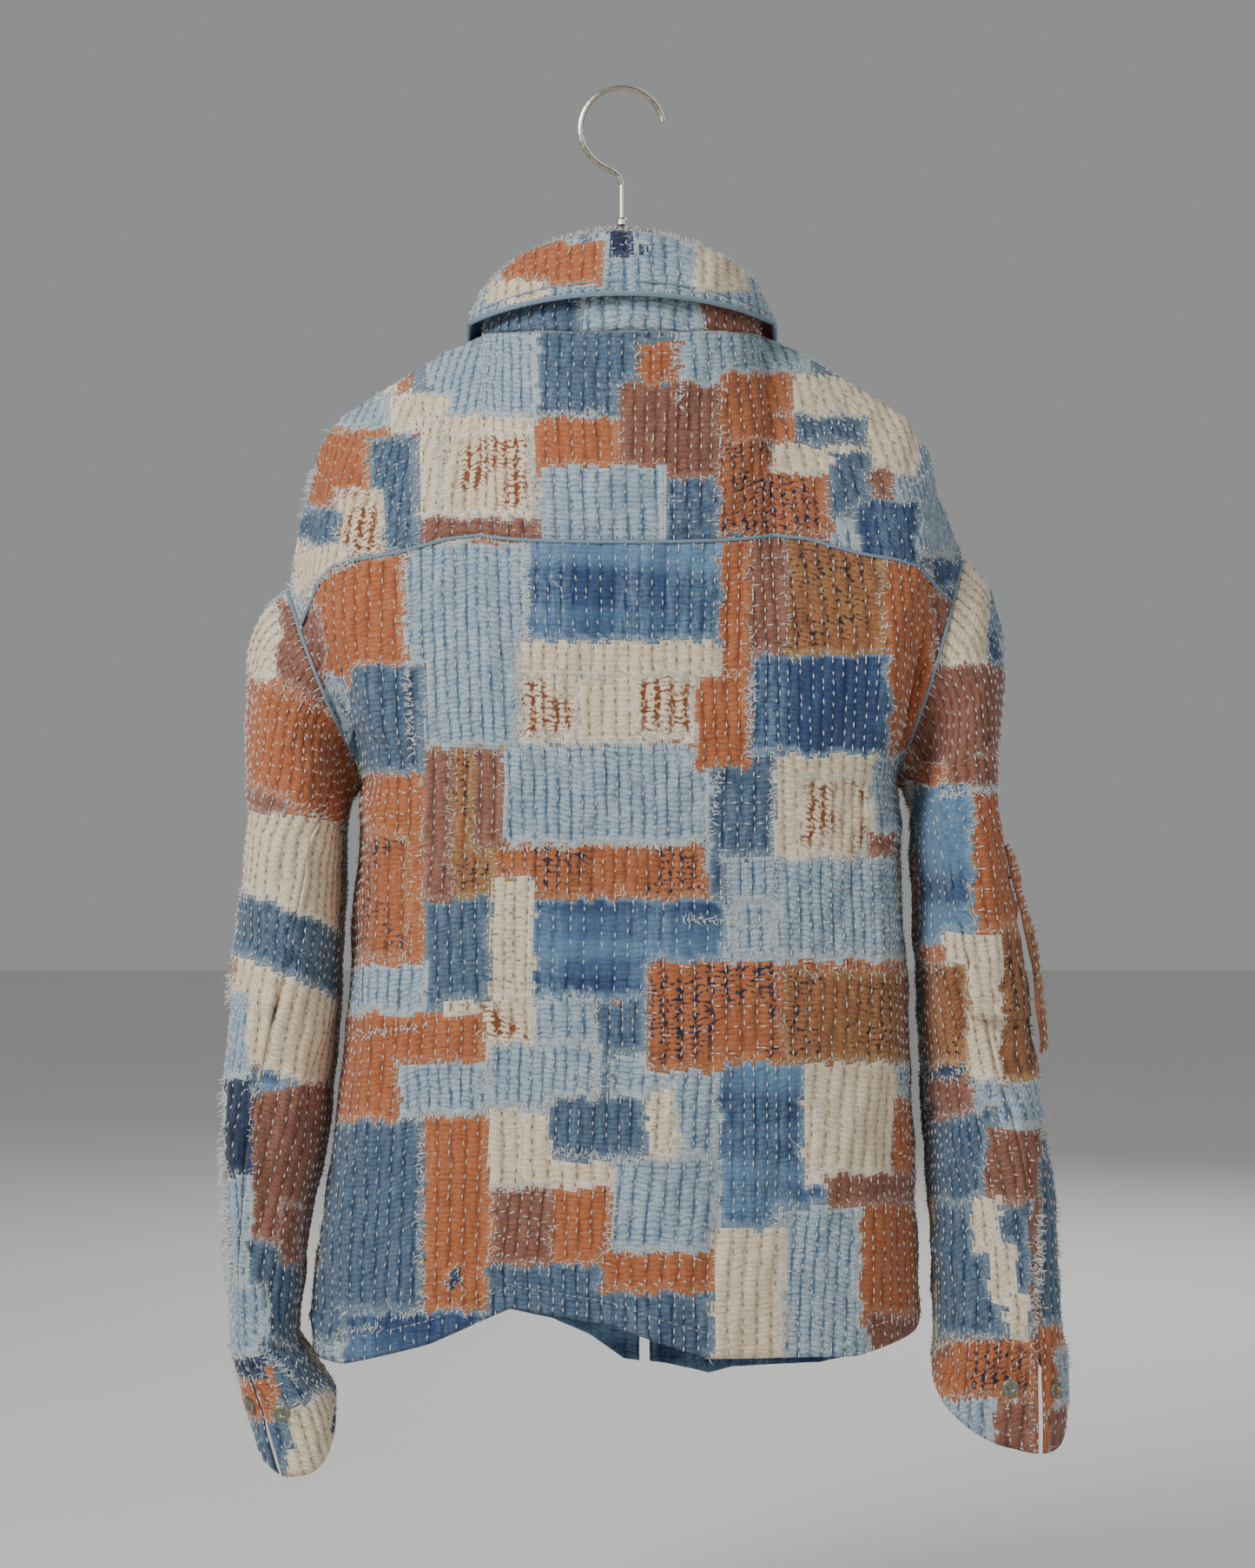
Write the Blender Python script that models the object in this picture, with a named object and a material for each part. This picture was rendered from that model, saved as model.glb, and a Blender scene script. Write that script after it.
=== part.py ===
"""A patched, quilted denim jacket hung on a metal hanger.

The frame is the hanger's: the origin is the inside of the top of its hook, +Z is up,
the wearer would face +Y and the wearer's right is +X. Lengths are metres.
"""
import math

import bpy
from mathutils import Vector

# Cloth
WALL = 0.0016           # quilted layers, front to back
SEAM_GAP = 0.0003       # left between two pieces at a seam
YOKE_GAP = 0.0022       # half the yoke seam's gap, as a share of the height
QUILT_RISE = 0.0009     # height of a channel over its stitched valleys

# Shoulders and neck: the top edge of the panels, from the middle outward
NECK_HALF = 0.098
NECK_BACK_Y = -0.066
NECK_BACK_Z = -0.180
NECK_SIDE_Z = -0.173
NECK_FRONT_Y = 0.060
NECK_FRONT_Z = -0.232
# x and z along each shoulder ridge, from the neck to the sleeve seam
LEFT_RIDGE = ((-0.098, -0.173), (-0.122, -0.184), (-0.165, -0.210), (-0.199, -0.231),
              (-0.213, -0.255), (-0.222, -0.290), (-0.236, -0.352))
RIGHT_RIDGE = ((0.098, -0.173), (0.122, -0.183), (0.167, -0.210), (0.200, -0.231),
               (0.215, -0.255), (0.224, -0.290), (0.240, -0.330))
NECK_SHARE = 0.42       # share of a panel's half width that the neck takes
CHEST_Z = -0.488        # underarm
BODY_CURL = 0.5         # how far the body's edge turns down at the foot of the armhole
ARMHOLE_BULGE = 0.052   # how far the armhole opens to the back and to the front

# z, left x, right x, back y, front y of the body below the underarm
BODY_SECTIONS = (
    (-0.488, -0.180, 0.192, -0.100, 0.094),
    (-0.575, -0.187, 0.196, -0.102, 0.097),
    (-0.665, -0.192, 0.200, -0.104, 0.100),
    (-0.740, -0.200, 0.203, -0.106, 0.102),
    (-0.820, -0.213, 0.206, -0.108, 0.104),
    (-0.930, -0.218, 0.209, -0.108, 0.104),
)
BODY_SQUARENESS = 3.0
# x and z of the hem, left to right
BACK_HEM = ((-0.225, -0.884), (-0.190, -0.886), (-0.130, -0.868), (-0.075, -0.843),
            (-0.010, -0.853), (0.060, -0.876), (0.160, -0.878), (0.200, -0.869),
            (0.215, -0.866))
FRONT_HEM = ((-0.225, -0.884), (-0.130, -0.872), (-0.071, -0.884), (-0.044, -0.897),
             (-0.019, -0.915), (0.010, -0.918), (0.044, -0.925), (0.061, -0.920),
             (0.129, -0.917), (0.170, -0.905), (0.200, -0.869), (0.215, -0.866))
FRONT_SHIFT = 0.021     # how far the fronts' middle swings to the right at the hem
FRONT_GAP = 0.0075      # between the two fronts, where the zip shows

# Large folds: place across (-1 to 1), depth out, half width, and the heights they run between
BACK_FOLDS = (
    (-0.88, -0.016, 0.065, -0.40, -0.60),
    (-0.72, 0.007, 0.070, -0.38, -0.72),
    (0.88, -0.018, 0.060, -0.36, -0.57),
    (0.73, 0.007, 0.060, -0.36, -0.66),
    (-0.30, -0.004, 0.100, -0.60, -0.90),
    (0.12, 0.006, 0.110, -0.62, -0.90),
    (0.45, -0.004, 0.090, -0.66, -0.90),
    (-0.85, 0.006, 0.080, -0.70, -0.92),
)
FRONT_FOLDS = (
    (-0.80, -0.010, 0.070, -0.38, -0.62),
    (0.80, -0.010, 0.070, -0.38, -0.62),
    (-0.45, 0.006, 0.090, -0.50, -0.92),
    (0.48, 0.005, 0.090, -0.52, -0.92),
    (-0.25, -0.004, 0.080, -0.60, -0.93),
    (0.24, -0.004, 0.080, -0.62, -0.93),
)

# z, outer x, inner x, middle y, half depth of each sleeve
LEFT_SLEEVE = (
    (-0.525, -0.262, -0.195, -0.004, 0.074),
    (-0.600, -0.270, -0.197, -0.004, 0.073),
    (-0.680, -0.276, -0.202, -0.006, 0.069),
    (-0.760, -0.277, -0.212, -0.014, 0.062),
    (-0.820, -0.275, -0.223, -0.024, 0.056),
    (-0.875, -0.270, -0.227, -0.030, 0.052),
    (-0.910, -0.262, -0.200, -0.032, 0.050),
    (-0.965, -0.246, -0.186, -0.032, 0.048),
)
RIGHT_SLEEVE = (
    (-0.525, 0.262, 0.206, -0.004, 0.074),
    (-0.600, 0.278, 0.207, -0.004, 0.073),
    (-0.680, 0.286, 0.211, -0.006, 0.069),
    (-0.760, 0.300, 0.215, -0.014, 0.062),
    (-0.820, 0.302, 0.219, -0.024, 0.056),
    (-0.875, 0.306, 0.218, -0.030, 0.052),
    (-0.915, 0.309, 0.212, -0.032, 0.050),
    (-0.960, 0.306, 0.222, -0.032, 0.048),
)
SLEEVE_SQUARENESS = 2.5
SLEEVE_TOP = -0.525
# middle height, amplitude and lowest angle of the curved cuff edge
LEFT_CUFF = (-0.924, 0.038, math.radians(76))
RIGHT_CUFF = (-0.911, 0.036, math.radians(58))
# back seam and front seam of a sleeve, as angles at its top and at its cuff
BACK_SEAM = (math.radians(146), math.radians(64))
FRONT_SEAM = (math.radians(236), math.radians(268))
ARMHOLE_GAP = 0.0012        # the sleeve's cloth leaves the body's edge here
SLIT_START = 0.78       # share of the sleeve's length where the cuff slit opens
SLIT_WIDTH = 0.0035
# height, angle, depth, angular half width, half height of the sleeve folds
SLEEVE_FOLDS = (
    (-0.600, 1.10, -0.004, 0.45, 0.05),
    (-0.675, 1.60, -0.005, 0.60, 0.04),
    (-0.735, 1.20, 0.004, 0.50, 0.03),
    (-0.790, 1.90, -0.006, 0.50, 0.05),
    (-0.640, 4.40, -0.005, 0.60, 0.05),
    (-0.740, 5.00, -0.004, 0.60, 0.05),
)

# Torn pieces on the right sleeve
FLAP_PEEL = 0.0022       # how far each stands off the sleeve at its foot
RAG_PEEL = 0.0060
RAG_LIFT = 0.0030        # the rag lies over the flap

# Collar
STAND_RISE = (0.030, 0.038)         # at the sides, and added at the back
STAND_LEAN = 0.22                   # inward for each metre up
STAND_SEAT = 0.0009                 # over the panels' neck edge
LEAF_FALL = (0.026, 0.021, 0.030)   # at the sides, added at the back and at the points
LEAF_CLEAR = 0.0060                 # leaf to stand at the fold
LEAF_LIFT = 0.0032                  # top of the fold over the stand
LEAF_FLARE = (0.30, 0.22)           # outward for each metre down, at the back and added
COLLAR_SPAN = math.radians(158)     # half the angle that the collar goes round the neck

# Zip
ZIP_TAPE_WIDTH = 0.0100
ZIP_TAPE_WALL = 0.0009
TAPE_SEAT = 0.0009                  # tape to front
ZIP_HEAD_T = 0.12                   # t at the head and the foot of the tapes
ZIP_FOOT_T = 1.93
SLIDER_T = 0.26
SLIDER_CLEAR = 0.0014
SLIDER_SIZE = (0.0064, 0.0026, 0.0110)
LUG_SIZE = (0.0008, 0.0040, 0.0040)
PIN_RADIUS = 0.0006
PULL_SIZE = (0.0040, 0.0016, 0.0240)
EYE_RADIUS = 0.0011
KNUCKLE_RADIUS = 0.0020
BOX_SIZE = (0.0062, 0.0030, 0.0085)

# Snaps on the cuffs
SNAP_RADIUS = 0.0060
SNAP_WALL = 0.0016

# Hanger
HOOK_WIRE = 0.0019
HOOK_RADIUS = 0.0295
BAR_WIRE = 0.0016
FERRULE = 0.0036
# x and z of the hanger's arms from the middle outward
ARM = ((0.000, -0.0980), (0.022, -0.1010), (0.050, -0.1180), (0.078, -0.1500),
       (0.091, -0.1735), (0.104, -0.1830), (0.122, -0.1893), (0.166, -0.2158),
       (0.188, -0.2296))


def remove_everything():
    for old in list(bpy.data.objects):
        bpy.data.objects.remove(old, do_unlink=True)


def material(name, color, roughness=0.9, metallic=0.0):
    made = bpy.data.materials.new(name)
    made.use_nodes = True
    shader = made.node_tree.nodes["Principled BSDF"]
    shader.inputs["Base Color"].default_value = (*color, 1.0)
    shader.inputs["Roughness"].default_value = roughness
    shader.inputs["Metallic"].default_value = metallic
    return made


def smooth(value):
    value = min(max(value, 0.0), 1.0)
    return value * value * (3.0 - 2.0 * value)


def spread(first, last, count):
    return [first + (last - first) * k / (count - 1) for k in range(count)]


def read(table, key, column):
    """Value of a column at a key between two rows; the first column falls steadily."""
    if key >= table[0][0]:
        return table[0][column]
    for above, below in zip(table, table[1:]):
        if key >= below[0]:
            share = (above[0] - key) / (above[0] - below[0])
            return above[column] + (below[column] - above[column]) * share
    return table[-1][column]


def height_at(line, x):
    """z of a line of (x, z) points that run from left to right."""
    if x <= line[0][0]:
        return line[0][1]
    for left, right in zip(line, line[1:]):
        if x <= right[0]:
            share = (x - left[0]) / (right[0] - left[0])
            return left[1] + (right[1] - left[1]) * share
    return line[-1][1]


def along(line, share):
    """Point at a share of a line's count of points."""
    place = min(max(share, 0.0), 1.0) * (len(line) - 1)
    first = min(int(place), len(line) - 2)
    part = place - first
    return [a + (b - a) * part for a, b in zip(line[first], line[first + 1])]


def oblong(angle, squareness):
    """Unit rounded oblong: sine part and cosine part at an angle."""
    power = 2.0 / squareness
    sine, cosine = math.sin(angle), math.cos(angle)
    return (math.copysign(abs(sine) ** power, sine),
            math.copysign(abs(cosine) ** power, cosine))


def even_angles(squareness, half, depth, count=400):
    """Angles at even steps of length along a quarter of a rounded oblong."""
    lengths, last = [0.0], (0.0, depth)
    for k in range(1, count + 1):
        sine, cosine = oblong(k / count * math.pi / 2, squareness)
        here = (half * sine, depth * max(cosine, 0.0))
        lengths.append(lengths[-1] + math.dist(here, last))
        last = here
    return [length / lengths[-1] for length in lengths]


BODY_LENGTHS = even_angles(BODY_SQUARENESS, 0.19, 0.10)


def body_angle(s):
    """Angle round the body for an even place across, -1 to 1."""
    share, steps = min(abs(s), 1.0), len(BODY_LENGTHS) - 1
    low, high = 0, steps
    while high - low > 1:
        middle = (low + high) // 2
        if BODY_LENGTHS[middle] <= share:
            low = middle
        else:
            high = middle
    part = (share - BODY_LENGTHS[low]) / (BODY_LENGTHS[high] - BODY_LENGTHS[low])
    return math.copysign((low + part) / steps * math.pi / 2, s)


def neck_point(angle):
    """The neck edge; angle 0 is the middle of the back and pi the middle of the front."""
    back = math.cos(angle) > 0.0
    depth, drop = (NECK_BACK_Y, NECK_BACK_Z) if back else (NECK_FRONT_Y, NECK_FRONT_Z)
    low = (drop - NECK_SIDE_Z) * abs(math.cos(angle)) ** 1.3
    return Vector((NECK_HALF * math.sin(angle), depth * abs(math.cos(angle)),
                   NECK_SIDE_Z + low))


def top_edge(face, s):
    """Neck edge and shoulder ridge of a panel; face is -1 at the back and 1 at the front."""
    if abs(s) <= NECK_SHARE:
        angle = s / NECK_SHARE * math.pi / 2
        return neck_point(angle if face < 0 else math.pi - angle)
    ridge = LEFT_RIDGE if s < 0 else RIGHT_RIDGE
    x, z = along(ridge, (abs(s) - NECK_SHARE) / (1.0 - NECK_SHARE))
    return Vector((x, 0.0, z))


def body_section(face, s, z):
    """A point on the rounded oblong of the body at a height."""
    left, right = read(BODY_SECTIONS, z, 1), read(BODY_SECTIONS, z, 2)
    depth = read(BODY_SECTIONS, z, 3 if face < 0 else 4)
    sine, cosine = oblong(body_angle(s), BODY_SQUARENESS)
    middle, half = (left + right) / 2, (right - left) / 2
    return Vector((middle + half * sine, depth * max(cosine, 0.0), z))


def folds_at(folds, s, z):
    push = 0.0
    for place, depth, half, top, foot in folds:
        ends = smooth((top - z) / 0.06) * smooth((z - foot) / 0.05 + 1.0)
        push += depth * ends * math.exp(-(((s - place) / half) ** 2))
    return push


def body_point(face, s, t):
    """The body's cloth: t is 0 at the top edge, 1 at the underarm and 2 at the hem."""
    if t <= 1.0:
        top, chest = top_edge(face, s), body_section(face, s, CHEST_Z)
        point = top.lerp(chest, t)
        fall = math.sin(max(t, 0.0) * math.pi / 2) ** 0.75
        point.y = top.y + (chest.y - top.y) * fall
        point.y += face * ARMHOLE_BULGE * abs(s) ** 3 * math.sin(math.pi * max(t, 0.0))
    else:
        hem = BACK_HEM if face < 0 else FRONT_HEM
        foot = height_at(hem, body_section(face, s, -0.87).x)
        point = body_section(face, s, CHEST_Z + (foot - CHEST_Z) * (t - 1.0))
    folds = BACK_FOLDS if face < 0 else FRONT_FOLDS
    point.y += face * folds_at(folds, s, point.z) * (1.0 - abs(s) ** 8)
    if face > 0:
        point.x += FRONT_SHIFT * (1.0 - s * s) * t / 2
    point.y += face * SEAM_GAP / 2
    return point


def outward(ahead, behind, up, down, turn):
    return ((ahead - behind).cross(up - down) * turn).normalized()


def curl(normal, t, size):
    """Turn an outward normal down towards the foot of the armhole."""
    down = size * smooth((t - 0.72) / 0.28)
    return normal.lerp(Vector((0.0, 0.0, -1.0)), down).normalized()


def body_surface(face):
    """Point and outward normal of the body's cloth; the two faces meet edge to edge.

    At the foot of the armhole the edge curls out, so that its outside faces down.
    """
    step = 0.004

    def at(s, t):
        point = body_point(face, s, t)
        normal = outward(body_point(face, min(s + step, 1.0), t),
                         body_point(face, max(s - step, -1.0), t),
                         body_point(face, s, max(t - step, 0.0)),
                         body_point(face, s, min(t + step, 2.0)), -face)
        if abs(point.y) < 0.0008:
            normal.y = 0.0
            normal.normalize()
        if abs(s) > 0.999 and t <= 1.0:
            normal = curl(normal, t, BODY_CURL)
        return point, normal
    return at


def mesh_object(name, points, faces, look):
    mesh = bpy.data.meshes.new(name)
    mesh.from_pydata([tuple(point) for point in points], [], faces)
    mesh.materials.append(look)
    made = bpy.data.objects.new(name, mesh)
    bpy.context.scene.collection.objects.link(made)
    mesh.shade_smooth()
    return made


def wall(name, surface, places, look, thickness=WALL, rise=0.0, lift=0.0):
    """A closed wall over a grid of places; every other column is raised outside."""
    rows, columns = len(places), len(places[0])
    grid = [[surface(*place) for place in line] for line in places]
    points = []
    for outer in (True, False):
        for i, line in enumerate(grid):
            for j, (point, normal) in enumerate(line):
                inside = 0 < i < rows - 1 and 0 < j < columns - 1
                raised = rise if outer and inside and j % 2 else 0.0
                points.append(point + normal * (lift + raised - (0.0 if outer else thickness)))
    back = rows * columns
    faces = []
    for i in range(rows - 1):
        for j in range(columns - 1):
            a, b = i * columns + j, i * columns + j + 1
            c, d = a + columns, b + columns
            faces.append((a, c, d, b))
            faces.append((back + a, back + b, back + d, back + c))
    rim = [j for j in range(columns)]
    rim += [i * columns + columns - 1 for i in range(1, rows)]
    rim += [(rows - 1) * columns + j for j in range(columns - 2, -1, -1)]
    rim += [i * columns for i in range(rows - 2, 0, -1)]
    for a, b in zip(rim, rim[1:] + rim[:1]):
        faces.append((a, b, back + b, back + a))
    return mesh_object(name, points, faces, look)


def yoke_seam(s):
    """t of the seam across the back, which dips to the armholes."""
    return 0.475 - 0.26 * abs(s) ** 4


def back_pieces(looks):
    across = spread(-1.0, 1.0, 37)
    gap = YOKE_GAP
    yoke = [[(s, (yoke_seam(s) - gap) * share) for s in across] for share in spread(0, 1, 6)]
    body = [[(s, yoke_seam(s) + gap + (1 - yoke_seam(s) - gap) * share) for s in across]
            for share in spread(0, 1, 9)]
    body += [[(s, t) for s in across] for t in spread(1.0, 2.0, 9)[1:]]
    wall("back_yoke", body_surface(-1), yoke, looks["denim_mid"], rise=QUILT_RISE)
    wall("back_body", body_surface(-1), body, looks["denim_light"], rise=QUILT_RISE)


def front_middle(t):
    """x of the middle of the fronts."""
    return body_point(1, 0.0, t).x


def front_surface(sign):
    """One front: its first column runs straight down beside the zip."""
    surface = body_surface(1)

    def at(s, t):
        point, normal = surface(s, t)
        middle = front_middle(t)
        if sign * (point.x - middle) < FRONT_GAP / 2:
            point.x = middle + sign * FRONT_GAP / 2
        return point, normal
    return at


def front_pieces(looks):
    rows = spread(0.0, 1.0, 12) + spread(1.0, 2.0, 9)[1:]
    for name, sign, look in (("front_left", -1, "rust"), ("front_right", 1, "denim_mid")):
        across = [sign * share for share in spread(0.004, 1.0, 19)]
        if sign > 0:
            across.reverse()
        places = [[(s, t) for s in across] for t in rows]
        wall(name, front_surface(sign), places, looks[look], rise=QUILT_RISE)


def sleeve_parts(side):
    return (LEFT_SLEEVE, LEFT_CUFF) if side < 0 else (RIGHT_SLEEVE, RIGHT_CUFF)


def sleeve_section(side, angle, z):
    """Angle 0 is the outer edge, pi/2 the back and pi the edge beside the body."""
    table = sleeve_parts(side)[0]
    outer, inner, middle_y, depth = (read(table, z, column) for column in (1, 2, 3, 4))
    sine, cosine = oblong(angle, SLEEVE_SQUARENESS)
    x = (outer + inner) / 2 + (outer - inner) / 2 * cosine
    point = Vector((x, middle_y - depth * sine, z))
    around = angle % (2 * math.pi)
    for height, place, push, wide, tall in SLEEVE_FOLDS:
        turn = math.exp(-(((around - place) / wide) ** 2))
        size = push * turn * math.exp(-(((z - height) / tall) ** 2))
        point.y += size * (-sine)
        point.x += side * size * cosine
    return point


def armhole(side, angle):
    """The body's edge at the sleeve, from the ridge down the back and up the front."""
    around = angle % (2 * math.pi)
    if around <= math.pi:
        face, t = -1, around / math.pi
    else:
        face, t = 1, 2.0 - around / math.pi
    point, normal = body_surface(face)(side, t)
    return point, curl(normal, t, 1.0)


def sleeve_point(side, angle, v):
    """v is 0 at the armhole, 1 under it and 2 at the cuff's edge."""
    if v >= 1.0:
        middle, swing, lowest = sleeve_parts(side)[1]
        foot = middle - swing * math.cos(angle - lowest)
        return sleeve_section(side, angle, SLEEVE_TOP + (foot - SLEEVE_TOP) * (v - 1.0))
    leave = Vector((side * 0.80, 0.0, -0.60))
    start = armhole(side, angle)[0] + leave * ARMHOLE_GAP
    end = sleeve_section(side, angle, SLEEVE_TOP)
    reach = (end - start).length
    share = 1.0 - v
    first = start + leave * reach / 3
    last = end + Vector((-side * 0.10, 0.0, 1.0)) * reach / 3
    return (start * share ** 3 + first * 3 * share ** 2 * v
            + last * 3 * share * v ** 2 + end * v ** 3)


def sleeve_surface(side):
    step = 0.01

    def at(angle, v):
        point = sleeve_point(side, angle, v)
        if v < 0.001:
            return point, armhole(side, angle)[1]
        normal = outward(sleeve_point(side, angle + step, v),
                         sleeve_point(side, angle - step, v),
                         sleeve_point(side, angle, max(v - step, 0.0)),
                         sleeve_point(side, angle, min(v + step, 2.0)), -side)
        return point, normal
    return at


def seam_angle(ends, v):
    return ends[0] + (ends[1] - ends[0]) * smooth((v - 0.4) / 1.4)


def slit_half(v):
    """Half the angle left open at the back seam, wider in the cuff's slit."""
    width = SEAM_GAP + SLIT_WIDTH * smooth((v - 1.0 - SLIT_START) / 0.12)
    return width / 2 / 0.05


def sleeve_rows():
    return spread(0.0, 1.0, 6) + spread(1.0, 2.0, 14)[1:]


def sleeve_pieces(side, word, looks):
    top, under = [], []
    for v in sleeve_rows():
        back, front = seam_angle(BACK_SEAM, v), seam_angle(FRONT_SEAM, v)
        half, gap = slit_half(v), SEAM_GAP / 2 / 0.05
        top.append([(a, v) for a in spread(front - 2 * math.pi + gap, back - half, 19)])
        under.append([(a, v) for a in spread(back + half, front - gap, 15)])
    if side > 0:
        for places in (top, under):
            for line in places:
                line.reverse()
    surface = sleeve_surface(side)
    wall("sleeve_top_" + word, surface, top, looks["rust"], rise=QUILT_RISE)
    wall("sleeve_under_" + word, surface, under, looks["cream"], rise=QUILT_RISE)


def stand_point(angle, share):
    """The collar's stand: share 0 at the neck seam and 1 at the fold."""
    base = neck_point(angle)
    rise = STAND_RISE[0] + STAND_RISE[1] * max(math.cos(angle), 0.0) ** 1.5
    away = Vector((base.x, base.y, 0.0)).normalized()
    height = STAND_SEAT + rise * share
    return base + Vector((0.0, 0.0, height)) - away * height * STAND_LEAN


def leaf_point(angle, share):
    """The collar's leaf: share 0 over the stand and 1 at its edge."""
    fold = stand_point(angle, 1.0)
    base = neck_point(angle)
    away = Vector((base.x, base.y, 0.0)).normalized()
    round_share = abs(angle) / COLLAR_SPAN
    turn = math.cos(angle)
    fall = LEAF_FALL[0] + LEAF_FALL[1] * max(turn, 0.0) + LEAF_FALL[2] * max(-turn, 0.0)
    flare = LEAF_FLARE[0] + LEAF_FLARE[1] * round_share
    bend = min(share / 0.12, 1.0)
    out = LEAF_CLEAR * math.sin(bend * math.pi / 2) + flare * fall * max(share - 0.06, 0.0)
    drop = fall * share - LEAF_LIFT
    return fold + away * out - Vector((0.0, 0.0, drop))


def collar_surface(point_at):
    step = 0.02

    def at(angle, share):
        low, high = max(share - step, 0.0), min(share + step, 1.0)
        normal = outward(point_at(angle + step, share), point_at(angle - step, share),
                         point_at(angle, high), point_at(angle, low), 1.0)
        return point_at(angle, share), normal
    return at


def collar_pieces(looks):
    around = spread(-COLLAR_SPAN, COLLAR_SPAN, 33)
    stand = collar_surface(stand_point)
    places = [[(a, share) for a in around] for share in (1.0, 0.66, 0.33, 0.0)]
    wall("collar_stand", stand, places, looks["denim_mid"])

    def leaf(angle, share):
        point, normal = collar_surface(leaf_point)(angle, share)
        return point, -normal
    shares = (0.0, 0.05, 0.12, 0.3, 0.5, 0.75, 1.0)
    wall("collar_leaf", leaf, [[(a, share) for a in around] for share in shares],
         looks["denim_light"])


def tube(name, points, radii, sides, look):
    """A round bar through points that lie in the hanger's plane."""
    spots, faces = [], []
    for k, (x, z) in enumerate(points):
        before, after = points[max(k - 1, 0)], points[min(k + 1, len(points) - 1)]
        run = Vector((after[0] - before[0], 0.0, after[1] - before[1])).normalized()
        side = Vector((0.0, 1.0, 0.0))
        up = run.cross(side)
        for j in range(sides):
            turn = 2 * math.pi * j / sides
            spots.append(Vector((x, 0.0, z)) + radii[k] * (side * math.cos(turn)
                                                          + up * math.sin(turn)))
    for k in range(len(points) - 1):
        for j in range(sides):
            a, b = k * sides + j, k * sides + (j + 1) % sides
            faces.append((a, a + sides, b + sides, b))
    faces.append(tuple(range(sides)))
    faces.append(tuple(reversed(range(len(spots) - sides, len(spots)))))
    made = mesh_object(name, spots, faces, look)
    made.data.flip_normals()
    return made


def hanger(looks):
    centre = HOOK_WIRE - HOOK_RADIUS
    hook = [(HOOK_RADIUS * math.cos(a), centre + HOOK_RADIUS * math.sin(a))
            for a in spread(math.radians(10), math.radians(206), 22)]
    hook += [(-0.0215, -0.0475), (-0.0150, -0.0530), (-0.0070, -0.0570), (-0.0022, -0.0610),
             (0.0, -0.0670), (0.0, -0.0900)]
    radii = [HOOK_WIRE] * len(hook)
    hook += [(0.0, -0.0902), (0.0, -0.0915), (0.0, -0.0950), (0.0, -0.0960)]
    radii += [FERRULE * 0.8, FERRULE, FERRULE, FERRULE * 0.8]
    tube("hanger_hook", hook, radii, 8, looks["steel"])
    half = list(ARM)
    line = [(-x, z) for x, z in reversed(half)] + half[1:]
    tube("hanger_bar", line, [BAR_WIRE] * len(line), 7, looks["steel"])


def box(name, size, place, look):
    x, y, z = (value / 2 for value in size)
    corners = [Vector((place[0] + a * x, place[1] + b * y, place[2] + c * z))
               for a in (-1, 1) for b in (-1, 1) for c in (-1, 1)]
    faces = [(0, 1, 3, 2), (4, 6, 7, 5), (0, 4, 5, 1), (2, 3, 7, 6), (0, 2, 6, 4), (1, 5, 7, 3)]
    made = mesh_object(name, corners, faces, look)
    made.data.shade_flat()
    return made


def rod_x(name, radius, length, place, look, sides=16):
    """A round rod along X."""
    points = [Vector((place[0] + end * length / 2,
                      place[1] + radius * math.cos(2 * math.pi * k / sides),
                      place[2] + radius * math.sin(2 * math.pi * k / sides)))
              for end in (-1, 1) for k in range(sides)]
    faces = [tuple(reversed(range(sides))), tuple(range(sides, 2 * sides))]
    faces += [(k, (k + 1) % sides, sides + (k + 1) % sides, sides + k) for k in range(sides)]
    return mesh_object(name, points, faces, look)


def combine(target, tool, operation):
    tool.hide_render = True
    tool.display_type = "WIRE"
    change = target.modifiers.new(operation.lower(), "BOOLEAN")
    change.operation = operation
    change.object = tool


def behind_front(t):
    """The middle of the zip's outer side, just behind the fronts, and the way it faces."""
    point, normal = body_surface(1)(0.0, t)
    return point - normal * (WALL + TAPE_SEAT), normal


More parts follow.
